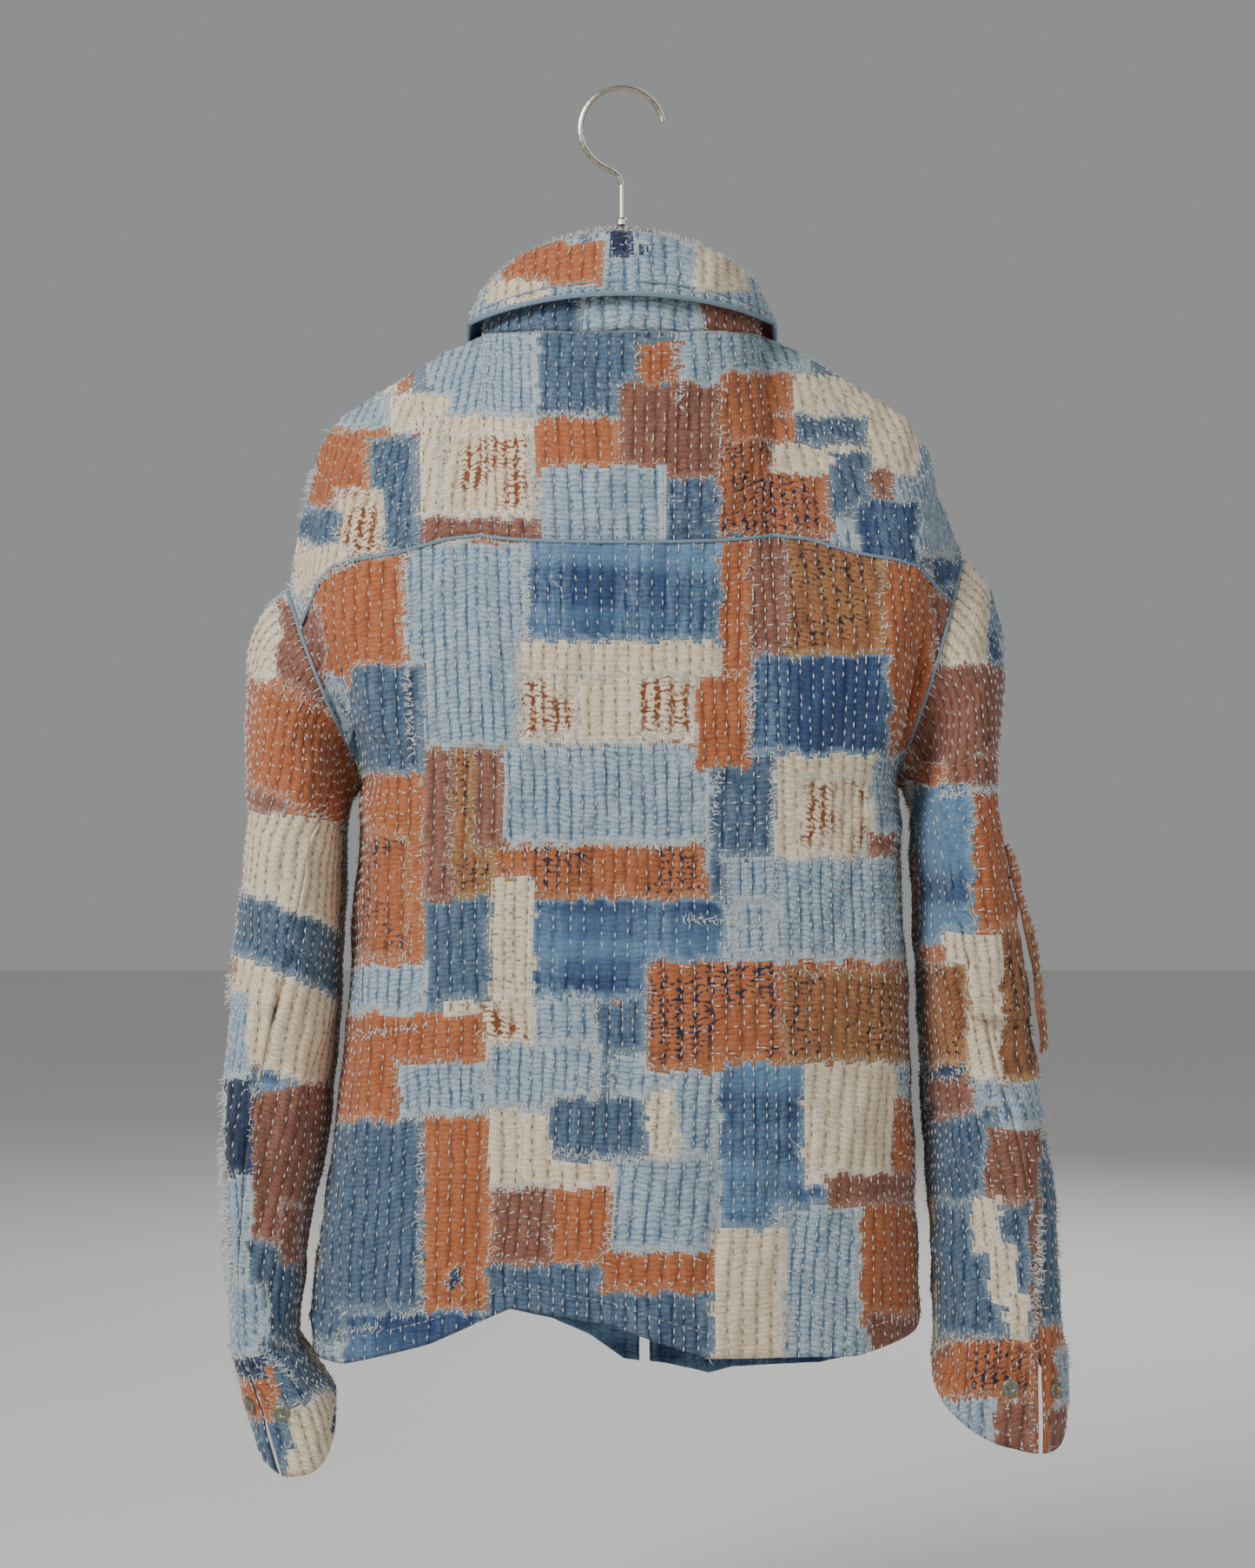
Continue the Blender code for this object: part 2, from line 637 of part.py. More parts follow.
def zip_pieces(looks):
    for name, sign in (("zip_tape_left", -1), ("zip_tape_right", 1)):
        def tape(offset, t):
            point, normal = behind_front(t)
            return point + Vector((offset, 0.0, 0.0)), normal
        edges = [sign * 0.0002, sign * ZIP_TAPE_WIDTH]
        edges.sort(reverse=True)
        rows = spread(ZIP_HEAD_T, ZIP_FOOT_T, 20)
        wall(name, tape, [[(x, t) for x in edges] for t in rows], looks["tape"], ZIP_TAPE_WALL)
    place = behind_front(SLIDER_T)[0]
    front = place.y + SLIDER_CLEAR
    middle = (place.x, front + SLIDER_SIZE[1] / 2, place.z)
    slider = box("zip_slider", SLIDER_SIZE, middle, looks["brass"])
    lug_y = front + SLIDER_SIZE[1] + LUG_SIZE[1] / 2 - 0.0004
    for word, sign in (("a", -1), ("b", 1)):
        lug = box("lug_" + word, LUG_SIZE,
                  (place.x + sign * (SLIDER_SIZE[0] - LUG_SIZE[0]) / 2 * 0.96, lug_y, place.z),
                  looks["brass"])
        combine(slider, lug, "UNION")
    pin_y = front + SLIDER_SIZE[1] + KNUCKLE_RADIUS + SEAM_GAP
    pin = rod_x("pin", PIN_RADIUS, SLIDER_SIZE[0] * 0.9, (place.x, pin_y, place.z),
                looks["brass"])
    combine(slider, pin, "UNION")
    pull = box("zip_pull", PULL_SIZE,
               (place.x, pin_y, place.z - PULL_SIZE[2] / 2 - EYE_RADIUS), looks["brass"])
    knuckle = rod_x("knuckle", KNUCKLE_RADIUS, PULL_SIZE[0], (place.x, pin_y, place.z),
                    looks["brass"])
    combine(pull, knuckle, "UNION")
    eye = rod_x("eye", EYE_RADIUS, 0.01, (place.x, pin_y, place.z), looks["brass"])
    combine(pull, eye, "DIFFERENCE")
    foot = behind_front(ZIP_FOOT_T)[0]
    box("zip_box", BOX_SIZE,
        (foot.x, foot.y + 2 * SEAM_GAP + BOX_SIZE[1] / 2, foot.z + BOX_SIZE[2] / 2), looks["brass"])


def disc(name, centre, normal, radius, thickness, look, sides=14):
    """A snap with a raised rim and a dished middle."""
    side = normal.cross(Vector((0.0, 0.0, 1.0))).normalized()
    up = side.cross(normal)
    profile = ((radius, 0.0), (radius, thickness * 0.6), (radius * 0.8, thickness),
               (radius * 0.5, thickness * 0.9), (radius * 0.34, thickness * 0.5))
    points, faces = [], []
    for reach, height in profile:
        for k in range(sides):
            turn = 2 * math.pi * k / sides
            points.append(centre + normal * height
                          + (side * math.cos(turn) + up * math.sin(turn)) * reach)
    for ring in range(len(profile) - 1):
        for k in range(sides):
            a, b = ring * sides + k, ring * sides + (k + 1) % sides
            faces.append((a, b, b + sides, a + sides))
    faces.append(tuple(reversed(range(sides))))
    last = (len(profile) - 1) * sides
    faces.append(tuple(range(last, last + sides)))
    made = mesh_object(name, points, faces, look)
    made.data.flip_normals()
    return made


def snaps(looks):
    """A socket on the under sleeve and a stud on the top sleeve at each cuff."""
    for side, word in ((-1, "left"), (1, "right")):
        slit = seam_angle(BACK_SEAM, 1.94)
        for kind, angle in (("socket", slit + 0.42), ("stud", slit - 0.30)):
            point, normal = sleeve_surface(side)(angle, 1.90)
            disc("snap_%s_%s" % (kind, word), point + normal * (QUILT_RISE + SEAM_GAP), normal,
                 SNAP_RADIUS, SNAP_WALL, looks["snap"])


def rags(looks):
    """The two torn pieces that hang off the right sleeve."""
    surface = sleeve_surface(1)
    flap = [[(a, v) for a in spread(1.85 - 0.5 * (v - 1.0), 0.72 - 0.45 * (v - 1.0), 9)]
            for v in spread(0.60, 1.30, 9)]
    rag = [[(a + 0.10 * math.sin(9 * v), v) for a in spread(0.75, 0.16, 6)]
           for v in spread(1.02, 1.36, 8)]

    def proud(height, places_top):
        def at(angle, v):
            point, normal = surface(angle, v)
            point = point + normal * (QUILT_RISE + 2 * SEAM_GAP + WALL
                                      + height * smooth((v - places_top) / 0.4))
            return point, normal
        return at
    for line in flap + rag:
        line.sort(key=lambda place: -place[0])
    wall("torn_flap", proud(FLAP_PEEL, 0.60), flap, looks["rust"])
    wall("torn_rag", proud(RAG_PEEL, 0.90), rag, looks["denim_mid"], lift=RAG_LIFT)


def build():
    remove_everything()
    looks = {
        "denim_light": material("denim_light", (0.40, 0.52, 0.60)),
        "denim_mid": material("denim_mid", (0.10, 0.17, 0.26)),
        "rust": material("rust", (0.42, 0.15, 0.07)),
        "cream": material("cream", (0.80, 0.72, 0.55)),
        "tape": material("tape", (0.10, 0.11, 0.14)),
        "brass": material("brass", (0.62, 0.55, 0.42), 0.35, 1.0),
        "snap": material("snap", (0.42, 0.42, 0.36), 0.4, 1.0),
        "steel": material("steel", (0.66, 0.62, 0.55), 0.3, 1.0),
    }
    hanger(looks)
    back_pieces(looks)
    front_pieces(looks)
    sleeve_pieces(-1, "left", looks)
    sleeve_pieces(1, "right", looks)
    collar_pieces(looks)
    zip_pieces(looks)
    snaps(looks)
    rags(looks)


build()
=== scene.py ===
"""The looks of a patched, quilted denim jacket on a metal hanger.

Lengths are metres in the part's frame: the origin is inside the top of the hook, +Z is up
and the camera looks along +Y at the jacket's back.
"""
import bisect
import math
import random

import bpy
import numpy as np
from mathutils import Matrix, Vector


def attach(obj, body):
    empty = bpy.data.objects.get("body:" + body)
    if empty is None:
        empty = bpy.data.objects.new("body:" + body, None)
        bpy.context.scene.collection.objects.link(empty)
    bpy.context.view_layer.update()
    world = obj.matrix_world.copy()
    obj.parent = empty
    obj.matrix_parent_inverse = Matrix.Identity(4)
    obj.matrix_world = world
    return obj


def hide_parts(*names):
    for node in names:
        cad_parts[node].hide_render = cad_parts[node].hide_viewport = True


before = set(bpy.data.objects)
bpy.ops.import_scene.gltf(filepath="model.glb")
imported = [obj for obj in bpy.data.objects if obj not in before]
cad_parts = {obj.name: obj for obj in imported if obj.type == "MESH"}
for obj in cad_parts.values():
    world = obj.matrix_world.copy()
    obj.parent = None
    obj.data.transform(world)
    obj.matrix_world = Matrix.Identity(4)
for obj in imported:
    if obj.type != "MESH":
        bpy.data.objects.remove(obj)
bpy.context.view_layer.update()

# Camera and floor, and the photograph's frame in pixels
PHOTO_WIDTH, PHOTO_HEIGHT = 1445, 1806
FOCAL_PIXELS = 3587.0
CAMERA = (0.004, -2.200, -0.490)
SENSOR = 36.0
FLOOR_Z = -1.16
FLOOR_HALF = 9.0

# Quilting
CHANNEL = 0.0090        # between two rows of running stitch
STITCH_PITCH = 0.0076
STITCH_LENGTH = 0.0041
STITCH_WIDTH = 0.00115
PUCKER = 0.0015         # height of the cloth between stitches
HEM_BAND = 0.065        # plaid denim along the fronts' hem

# Cloth
WALL = 0.0016           # quilted layers, front to back
SEAM_GAP = 0.0003       # left between two pieces at a seam
YOKE_GAP = 0.0022       # half the yoke seam's gap, as a share of the height
QUILT_RISE = 0.0009     # height of a channel over its stitched valleys

# Shoulders and neck: the top edge of the panels, from the middle outward
NECK_HALF = 0.098
NECK_BACK_Y = -0.066
NECK_BACK_Z = -0.180
NECK_SIDE_Z = -0.173
NECK_FRONT_Y = 0.060
NECK_FRONT_Z = -0.232
# x and z along each shoulder ridge, from the neck to the sleeve seam
LEFT_RIDGE = ((-0.098, -0.173), (-0.122, -0.184), (-0.165, -0.210), (-0.199, -0.231),
              (-0.213, -0.255), (-0.222, -0.290), (-0.236, -0.352))
RIGHT_RIDGE = ((0.098, -0.173), (0.122, -0.183), (0.167, -0.210), (0.200, -0.231),
               (0.215, -0.255), (0.224, -0.290), (0.240, -0.330))
NECK_SHARE = 0.42       # share of a panel's half width that the neck takes
CHEST_Z = -0.488        # underarm
ARMHOLE_BULGE = 0.052   # how far the armhole opens to the back and to the front

# z, left x, right x, back y, front y of the body below the underarm
BODY_SECTIONS = (
    (-0.488, -0.180, 0.192, -0.100, 0.094),
    (-0.575, -0.187, 0.196, -0.102, 0.097),
    (-0.665, -0.192, 0.200, -0.104, 0.100),
    (-0.740, -0.200, 0.203, -0.106, 0.102),
    (-0.820, -0.213, 0.206, -0.108, 0.104),
    (-0.930, -0.218, 0.209, -0.108, 0.104),
)
BODY_SQUARENESS = 3.0
# x and z of the hem, left to right
BACK_HEM = ((-0.225, -0.884), (-0.190, -0.886), (-0.130, -0.868), (-0.075, -0.843),
            (-0.010, -0.853), (0.060, -0.876), (0.160, -0.878), (0.200, -0.869),
            (0.215, -0.866))
FRONT_HEM = ((-0.225, -0.884), (-0.130, -0.872), (-0.071, -0.884), (-0.044, -0.897),
             (-0.019, -0.915), (0.010, -0.918), (0.044, -0.925), (0.061, -0.920),
             (0.129, -0.917), (0.170, -0.905), (0.200, -0.869), (0.215, -0.866))
FRONT_SHIFT = 0.021     # how far the fronts' middle swings to the right at the hem
FRONT_GAP = 0.0075      # between the two fronts, where the zip shows

# Large folds: place across (-1 to 1), depth out, half width, and the heights they run between
BACK_FOLDS = (
    (-0.88, -0.016, 0.065, -0.40, -0.60),
    (-0.72, 0.007, 0.070, -0.38, -0.72),
    (0.88, -0.018, 0.060, -0.36, -0.57),
    (0.73, 0.007, 0.060, -0.36, -0.66),
    (-0.30, -0.004, 0.100, -0.60, -0.90),
    (0.12, 0.006, 0.110, -0.62, -0.90),
    (0.45, -0.004, 0.090, -0.66, -0.90),
    (-0.85, 0.006, 0.080, -0.70, -0.92),
)
FRONT_FOLDS = (
    (-0.80, -0.010, 0.070, -0.38, -0.62),
    (0.80, -0.010, 0.070, -0.38, -0.62),
    (-0.45, 0.006, 0.090, -0.50, -0.92),
    (0.48, 0.005, 0.090, -0.52, -0.92),
    (-0.25, -0.004, 0.080, -0.60, -0.93),
    (0.24, -0.004, 0.080, -0.62, -0.93),
)

# z, outer x, inner x, middle y, half depth of each sleeve
LEFT_SLEEVE = (
    (-0.525, -0.262, -0.195, -0.004, 0.074),
    (-0.600, -0.270, -0.197, -0.004, 0.073),
    (-0.680, -0.276, -0.202, -0.006, 0.069),
    (-0.760, -0.277, -0.212, -0.014, 0.062),
    (-0.820, -0.275, -0.223, -0.024, 0.056),
    (-0.875, -0.270, -0.227, -0.030, 0.052),
    (-0.910, -0.262, -0.200, -0.032, 0.050),
    (-0.965, -0.246, -0.186, -0.032, 0.048),
)
RIGHT_SLEEVE = (
    (-0.525, 0.262, 0.206, -0.004, 0.074),
    (-0.600, 0.278, 0.207, -0.004, 0.073),
    (-0.680, 0.286, 0.211, -0.006, 0.069),
    (-0.760, 0.300, 0.215, -0.014, 0.062),
    (-0.820, 0.302, 0.219, -0.024, 0.056),
    (-0.875, 0.306, 0.218, -0.030, 0.052),
    (-0.915, 0.309, 0.212, -0.032, 0.050),
    (-0.960, 0.306, 0.222, -0.032, 0.048),
)
SLEEVE_SQUARENESS = 2.5
SLEEVE_TOP = -0.525
# middle height, amplitude and lowest angle of the curved cuff edge
LEFT_CUFF = (-0.924, 0.038, math.radians(76))
RIGHT_CUFF = (-0.911, 0.036, math.radians(58))
# back seam and front seam of a sleeve, as angles at its top and at its cuff
BACK_SEAM = (math.radians(146), math.radians(64))
FRONT_SEAM = (math.radians(236), math.radians(268))
ARMHOLE_GAP = 0.0012        # the sleeve's cloth leaves the body's edge here
SLIT_START = 0.78       # share of the sleeve's length where the cuff slit opens
SLIT_WIDTH = 0.0035
# height, angle, depth, angular half width, half height of the sleeve folds
SLEEVE_FOLDS = (
    (-0.600, 1.10, -0.004, 0.45, 0.05),
    (-0.675, 1.60, -0.005, 0.60, 0.04),
    (-0.735, 1.20, 0.004, 0.50, 0.03),
    (-0.790, 1.90, -0.006, 0.50, 0.05),
    (-0.640, 4.40, -0.005, 0.60, 0.05),
    (-0.740, 5.00, -0.004, 0.60, 0.05),
)

# Torn pieces on the right sleeve
FLAP_PEEL = 0.0022       # how far each stands off the sleeve at its foot
RAG_PEEL = 0.0060
RAG_LIFT = 0.0030        # the rag lies over the flap

# Collar
STAND_RISE = (0.030, 0.038)         # at the sides, and added at the back
STAND_LEAN = 0.22                   # inward for each metre up
STAND_SEAT = 0.0009                 # over the panels' neck edge
LEAF_FALL = (0.026, 0.021, 0.030)   # at the sides, added at the back and at the points
LEAF_CLEAR = 0.0060                 # leaf to stand at the fold
LEAF_LIFT = 0.0032                  # top of the fold over the stand
LEAF_FLARE = (0.30, 0.22)           # outward for each metre down, at the back and added
COLLAR_SPAN = math.radians(158)     # half the angle that the collar goes round the neck

# Stitches and loose ends: width, and shortest length with the most that is added to it
STITCH_RISE = 0.0007
GREY_SHARE = 0.62       # width of a grey stitch to a white one
SKIPPED = 0.05          # share of the stitches that are missing
FRAY_WIDTH = 0.00042
FRAY_REACH = (0.0016, 0.0048)
FRINGE_WIDTH = 0.00055
FRINGE_REACH = (0.0015, 0.0038)
FRINGE_HALF = 2.6       # pixels to each side of a frayed edge
FACING_FRINGE = -0.1    # y of a normal, below which a fringe is seen
FLUFF_WIDTH = 0.0007
FLUFF_REACH = (0.003, 0.0075)
PATCH_STEP = 0.00035    # a patch over the one below it
CREASE_SCALE = 1.4
TOPSTITCH_PITCH = 0.0038
TOPSTITCH_SHARE = 0.68  # of the pitch that the thread covers
LOOSE_COUNT = 26
LOOSE_RADIUS = 0.00022
COLLAR_ENDS = 420

# Grids of the cloth, in points
BODY_COLUMNS = 170
YOKE_ROWS, BACK_ROWS = 62, 170
FRONT_COLUMNS, FRONT_ROWS = 78, 190
TOP_COLUMNS, UNDER_COLUMNS = 86, 60
SLEEVE_ROWS = (48, 118)             # to the underarm, and from there to the cuff
COLLAR_COLUMNS = 150

# Piping in the seams, along the collar's edge and on the collar
SEAM_CORD = 0.0013
EDGE_CORD = 0.0018
LEAF_CORD = 0.0008

# Zip teeth
TAPE_SEAT = 0.0009                  # tape to front
TOOTH_SEAT = 0.0003                 # tape to teeth
TOOTH_COUNT = 225
TOOTH_ENDS = (0.13, 1.92)           # t of the first and the last tooth
TOOTH_REACH = 0.0022
TOOTH_DEPTH = 0.0012
TOOTH_HALF = 0.0009                 # half a tooth's height
SLIDER_T = 0.26
SLIDER_ROOM = 0.020                 # t above and below the slider without teeth

# Patches, later ones on top: cloth, left, right, top and bottom in the photograph's pixels,
# and the slope of those that lie aslant
YOKE_PATCHES = (
    ("LD", 380, 500, 455, 540), ("MD", 470, 500, 415, 470), ("LD", 490, 620, 340, 482),
    ("MD", 618, 785, 340, 478), ("LD", 775, 935, 340, 447), ("MD", 925, 985, 395, 450),
    ("LD", 1023, 1100, 490, 640), ("BR", 475, 502, 500, 552), ("RU", 335, 447, 494, 600),
    ("MD", 423, 482, 503, 632), ("CR", 448, 517, 455, 502), ("MD", 320, 400, 585, 660),
    ("LD", 320, 362, 640, 715), ("CS", 388, 440, 564, 640), ("CR", 338, 402, 628, 690),
    ("CR", 480, 620, 479, 598), ("CS", 508, 612, 500, 590), ("BR", 483, 620, 596, 636),
    ("RU", 614, 778, 480, 546), ("BR", 710, 867, 441, 556), ("LD", 620, 766, 535, 632),
    ("MD", 765, 880, 550, 630), ("RH", 826, 955, 429, 616), ("LD", 955, 988, 560, 645),
    ("CR", 885, 1055, 428, 545), ("MD", 885, 995, 476, 510), ("BR", 980, 1024, 535, 575),
    ("MD", 953, 1000, 518, 595), ("PI", 985, 1056, 575, 700), ("RU", 735, 782, 392, 440),
    ("RU", 828, 912, 429, 507),
)
BODY_PATCHES = (
    ("RU", 330, 470, 640, 778), ("BR", 330, 372, 700, 800), ("LD", 465, 610, 625, 868),
    ("PI", 606, 832, 615, 745), ("BH", 862, 1017, 612, 766), ("RU", 828, 868, 612, 882),
    ("RU", 1015, 1075, 640, 900), ("MD", 403, 488, 765, 893), ("CR", 596, 828, 738, 856),
    ("CS", 600, 665, 752, 846), ("CS", 730, 812, 752, 846), ("RU", 760, 862, 852, 882),
    ("PI", 862, 1024, 752, 872), ("RU", 388, 492, 888, 1114), ("RH", 400, 470, 960, 1100),
    ("BH", 488, 580, 858, 1037), ("LD", 574, 834, 855, 976), ("MD", 815, 918, 865, 1062),
    ("CR", 890, 1012, 868, 1036), ("CS", 920, 1000, 895, 1010), ("LD", 1006, 1060, 870, 970),
    ("BR", 998, 1034, 958, 988), ("RH", 570, 812, 970, 1044), ("MD", 488, 570, 1030, 1168),
    ("PI", 610, 834, 1033, 1152), ("LD", 833, 1045, 985, 1122), ("LD", 385, 490, 1108, 1199),
    ("LD", 610, 690, 1145, 1235), ("MD", 684, 746, 1150, 1300), ("CR", 563, 613, 1008, 1205),
    ("CS", 508, 613, 1150, 1226), ("RU", 385, 556, 1165, 1292), ("LD", 458, 688, 1222, 1318),
    ("LD", 700, 840, 1212, 1468), ("CR", 563, 778, 1272, 1388), ("LD", 560, 690, 1200, 1282),
    ("MD", 632, 746, 1262, 1336), ("RH", 743, 1048, 1105, 1230), ("LD", 1030, 1075, 1170, 1268),
    ("PI", 826, 954, 1222, 1424), ("CR", 923, 1032, 1212, 1362), ("RU", 1028, 1080, 1262, 1400),
    ("BR", 948, 1058, 1350, 1398), ("MD", 340, 490, 1288, 1548), ("RU", 485, 570, 1283, 1532),
    ("BR", 566, 636, 1366, 1502), ("RU", 633, 822, 1366, 1488), ("LD", 704, 826, 1330, 1442),
    ("MD", 560, 838, 1454, 1590), ("LD", 893, 1008, 1388, 1590), ("CR", 818, 902, 1412, 1590),
    ("RU", 988, 1090, 1384, 1530), ("BR", 1000, 1090, 1512, 1590), ("LD", 330, 398, 1540, 1600),
    ("PI", 396, 556, 1508, 1600), ("NV", 514, 526, 1462, 1484), ("BR", 330, 372, 1310, 1455),
    ("RU", 690, 822, 1440, 1486), ("RU", 800, 862, 776, 882), ("CR", 596, 826, 738, 778),
    ("CR", 560, 600, 1275, 1366), ("CR", 744, 775, 1252, 1330), ("LD", 846, 892, 1040, 1100),
    ("BR", 488, 520, 862, 1037), ("BR", 545, 578, 862, 975), ("BR", 862, 905, 615, 752),
    ("BH", 900, 1048, 1118, 1222),
)
LEFT_SLEEVE_PATCHES = (
    ("RU", 240, 440, 640, 1000), ("CR", 285, 345, 640, 782, -0.3), ("BR", 322, 392, 700, 800, 0.5),
    ("BR", 265, 332, 897, 975, 0.3), ("CR", 268, 415, 938, 1066, 0.1), ("RU", 270, 405, 800, 925, 0.5),
    ("MD", 256, 425, 1048, 1148, 0.42), ("CR", 248, 412, 1122, 1240, 0.42),
    ("RU", 240, 272, 970, 1120), ("LD", 240, 286, 1140, 1330), ("BR", 276, 392, 1250, 1462, -0.2),
    ("NV", 262, 290, 1238, 1352), ("MD", 240, 258, 1330, 1400), ("LD", 245, 290, 1352, 1480),
    ("MD", 284, 430, 1440, 1565, 0.2), ("BR", 321, 345, 1385, 1455), ("LD", 250, 310, 1476, 1574),
    ("MD", 298, 395, 1553, 1625, 0.3), ("CR", 316, 430, 1600, 1720, -0.5),
    ("BR", 391, 430, 1560, 1632), ("NV", 380, 402, 1618, 1650), ("RU", 255, 314, 1572, 1655),
    ("NV", 270, 302, 1560, 1584), ("MD", 284, 330, 1632, 1715),
)
RIGHT_SLEEVE_PATCHES = (
    ("CR", 1040, 1135, 610, 768), ("RU", 1020, 1075, 690, 880), ("BR", 1052, 1160, 765, 905),
    ("RU", 1030, 1090, 880, 1115), ("PI", 1048, 1160, 905, 1085), ("RU", 1118, 1190, 910, 1078),
    ("CR", 1086, 1164, 1072, 1250), ("BH", 1150, 1210, 1068, 1250), ("BH", 1035, 1112, 1108, 1235),
    ("NV", 1058, 1106, 1225, 1262), ("BR", 1040, 1124, 1238, 1292), ("LD", 1118, 1215, 1243, 1310),
    ("MD", 1040, 1148, 1284, 1395, -0.2), ("BR", 1133, 1208, 1298, 1520),
    ("MD", 1040, 1185, 1384, 1565), ("CR", 1118, 1148, 1375, 1440), ("CR", 1138, 1168, 1430, 1500),
    ("MD", 1196, 1240, 1308, 1530), ("CR", 1156, 1184, 1486, 1545),
    ("RH", 1040, 1192, 1538, 1632), ("LD", 1060, 1165, 1606, 1700), ("BR", 1143, 1208, 1610, 1700),
    ("RU", 1188, 1226, 1522, 1690), ("LD", 1214, 1245, 1548, 1624), ("BR", 1206, 1245, 1618, 1700),
)
FLAP_PATCHES = (("BR", 1000, 1150, 700, 870),)
RAG_PATCHES = (("MD", 1090, 1260, 600, 915),)
COLLAR_PATCHES = (
    ("LD", 530, 900, 255, 380), ("MD", 560, 680, 250, 300), ("LD", 600, 665, 262, 302),
    ("RU", 575, 693, 278, 327), ("CR", 560, 628, 323, 348), ("NV", 698, 724, 258, 296),
    ("NV", 733, 744, 281, 292), ("CR", 797, 862, 262, 334),
)
STAND_PATCHES = (
    ("MD", 540, 672, 325, 390), ("LD", 668, 808, 325, 390), ("BR", 806, 900, 325, 390),
)

# Cloths, in the order of the material slots: light and middle denim, patchy indigo, rust and
# rust with holes, brown and brown with holes, cream and spotted cream, navy
CLOTHS = ("LD", "MD", "PI", "RU", "RH", "BR", "BH", "CR", "CS", "NV")
UNDER_THREAD = ("CR", "CS")
HIDDEN_CLOTHS = ("LD", "MD", "PI", "RU", "BR", "CR", "LD", "MD", "RU", "CS", "RH")
PATCH_SWAY = 3.8        # how ragged a patch's outline is, in pixels
FACING = -0.08          # y of a normal, below which the camera sees the cloth

# Patches on the hidden sides
PATCH_DROP = 0.075      # between two rows of them
PATCH_WIDTHS = (0.045, 0.115)
PATCH_HEIGHTS = (0.055, 0.125)
PATCH_LAP = 0.004
HIDDEN_SWAY = 0.0022

# Cloth: crest colour on the puckers' worn tops, colour of the valleys with painted shade in the
# quilting's dips (partly the less worn cloth there), colour in the holes, share of holes, worn colour
COLORS = {
    "LD": ((166, 184, 194), (68, 98, 126), (70, 104, 138), 0.00, (204, 212, 212)),
    "MD": ((84, 108, 130), (32, 54, 80), (38, 58, 88), 0.00, (136, 154, 168)),
    "PI": ((82, 110, 140), (30, 50, 84), (24, 44, 84), 0.00, (144, 170, 190)),
    "RU": ((180, 106, 66), (132, 68, 38), (110, 60, 40), 0.00, (196, 132, 92)),
    "RH": ((176, 104, 64), (130, 70, 40), (26, 36, 58), 0.24, (198, 134, 94)),
    "BR": ((142, 94, 76), (98, 58, 46), (90, 56, 46), 0.00, (172, 126, 106)),
    "BH": ((158, 102, 66), (114, 68, 44), (36, 34, 42), 0.04, (186, 150, 96)),
    "CR": ((232, 216, 186), (188, 166, 130), (160, 120, 84), 0.00, (244, 234, 212)),
    "CS": ((232, 216, 186), (182, 156, 118), (128, 70, 36), 0.46, (244, 234, 212)),
    "NV": ((36, 48, 76), (16, 24, 44), (18, 26, 46), 0.00, (78, 96, 126)),
}

# Tints that lie over the indigo in bands and rows, and over the brown
INDIGO_BAND = (26, 48, 92)
INDIGO_ROW = (122, 160, 192)
OCHRE = (156, 116, 66)

# Solids that show as they are, by finish
FINISHES = {
    "steel": ("hanger_hook", "hanger_bar"),
    "brass": ("zip_slider", "zip_pull", "zip_box"),
    "tape": ("zip_tape_left", "zip_tape_right"),
    "snap": ("snap_socket_left", "snap_socket_right", "snap_stud_left", "snap_stud_right"),
}

# Main creases seen in the photograph: two ends in pixels, half width in pixels, push in metres
CREASES = (
    (412, 832, 480, 905, 13, -0.0030), (405, 880, 455, 985, 12, 0.0020),
    (1046, 842, 985, 935, 13, -0.0032), (1050, 900, 1010, 1010, 11, 0.0022),
    (560, 660, 575, 860, 12, 0.0014), (838, 640, 846, 860, 13, -0.0018),
    (700, 900, 680, 1130, 16, -0.0013), (905, 1040, 885, 1210, 12, 0.0016),
    (486, 1190, 492, 1520, 12, -0.0022), (566, 1280, 575, 1510, 11, 0.0020),
    (650, 1250, 640, 1500, 14, -0.0018), (742, 1180, 752, 1330, 10, 0.0017),
    (830, 1230, 822, 1540, 12, -0.0026), (944, 1240, 950, 1550, 13, 0.0020),
    (1028, 1190, 1030, 1540, 12, -0.0020), (395, 1240, 402, 1540, 12, 0.0018),
    (470, 470, 560, 560, 16, -0.0016), (950, 450, 1035, 560, 16, -0.0017),
    (345, 700, 392, 850, 11, -0.0030), (312, 690, 300, 880, 13, 0.0024),
    (276, 930, 395, 1010, 12, -0.0022), (262, 1055, 400, 1150, 11, -0.0032),
    (258, 1130, 392, 1205, 12, 0.0022), (330, 1230, 292, 1440, 11, -0.0026),
    (275, 1265, 262, 1420, 9, 0.0020), (372, 1180, 352, 1330, 9, -0.0022),
    (300, 1440, 330, 1560, 10, -0.0024), (345, 1500, 395, 1560, 8, 0.0018),
    (1070, 640, 1085, 780, 12, -0.0024), (1118, 640, 1130, 780, 11, 0.0018),
    (1062, 900, 1085, 1090, 10, -0.0026), (1130, 930, 1150, 1120, 12, 0.0020),
    (1088, 1100, 1125, 1240, 10, -0.0026), (1160, 1130, 1190, 1280, 10, 0.0018),
    (1052, 1262, 1120, 1300, 9, -0.0028), (1124, 1300, 1190, 1480, 10, -0.0030),
    (1060, 1400, 1150, 1520, 13, 0.0022), (1070, 1560, 1150, 1610, 10, -0.0020),
)

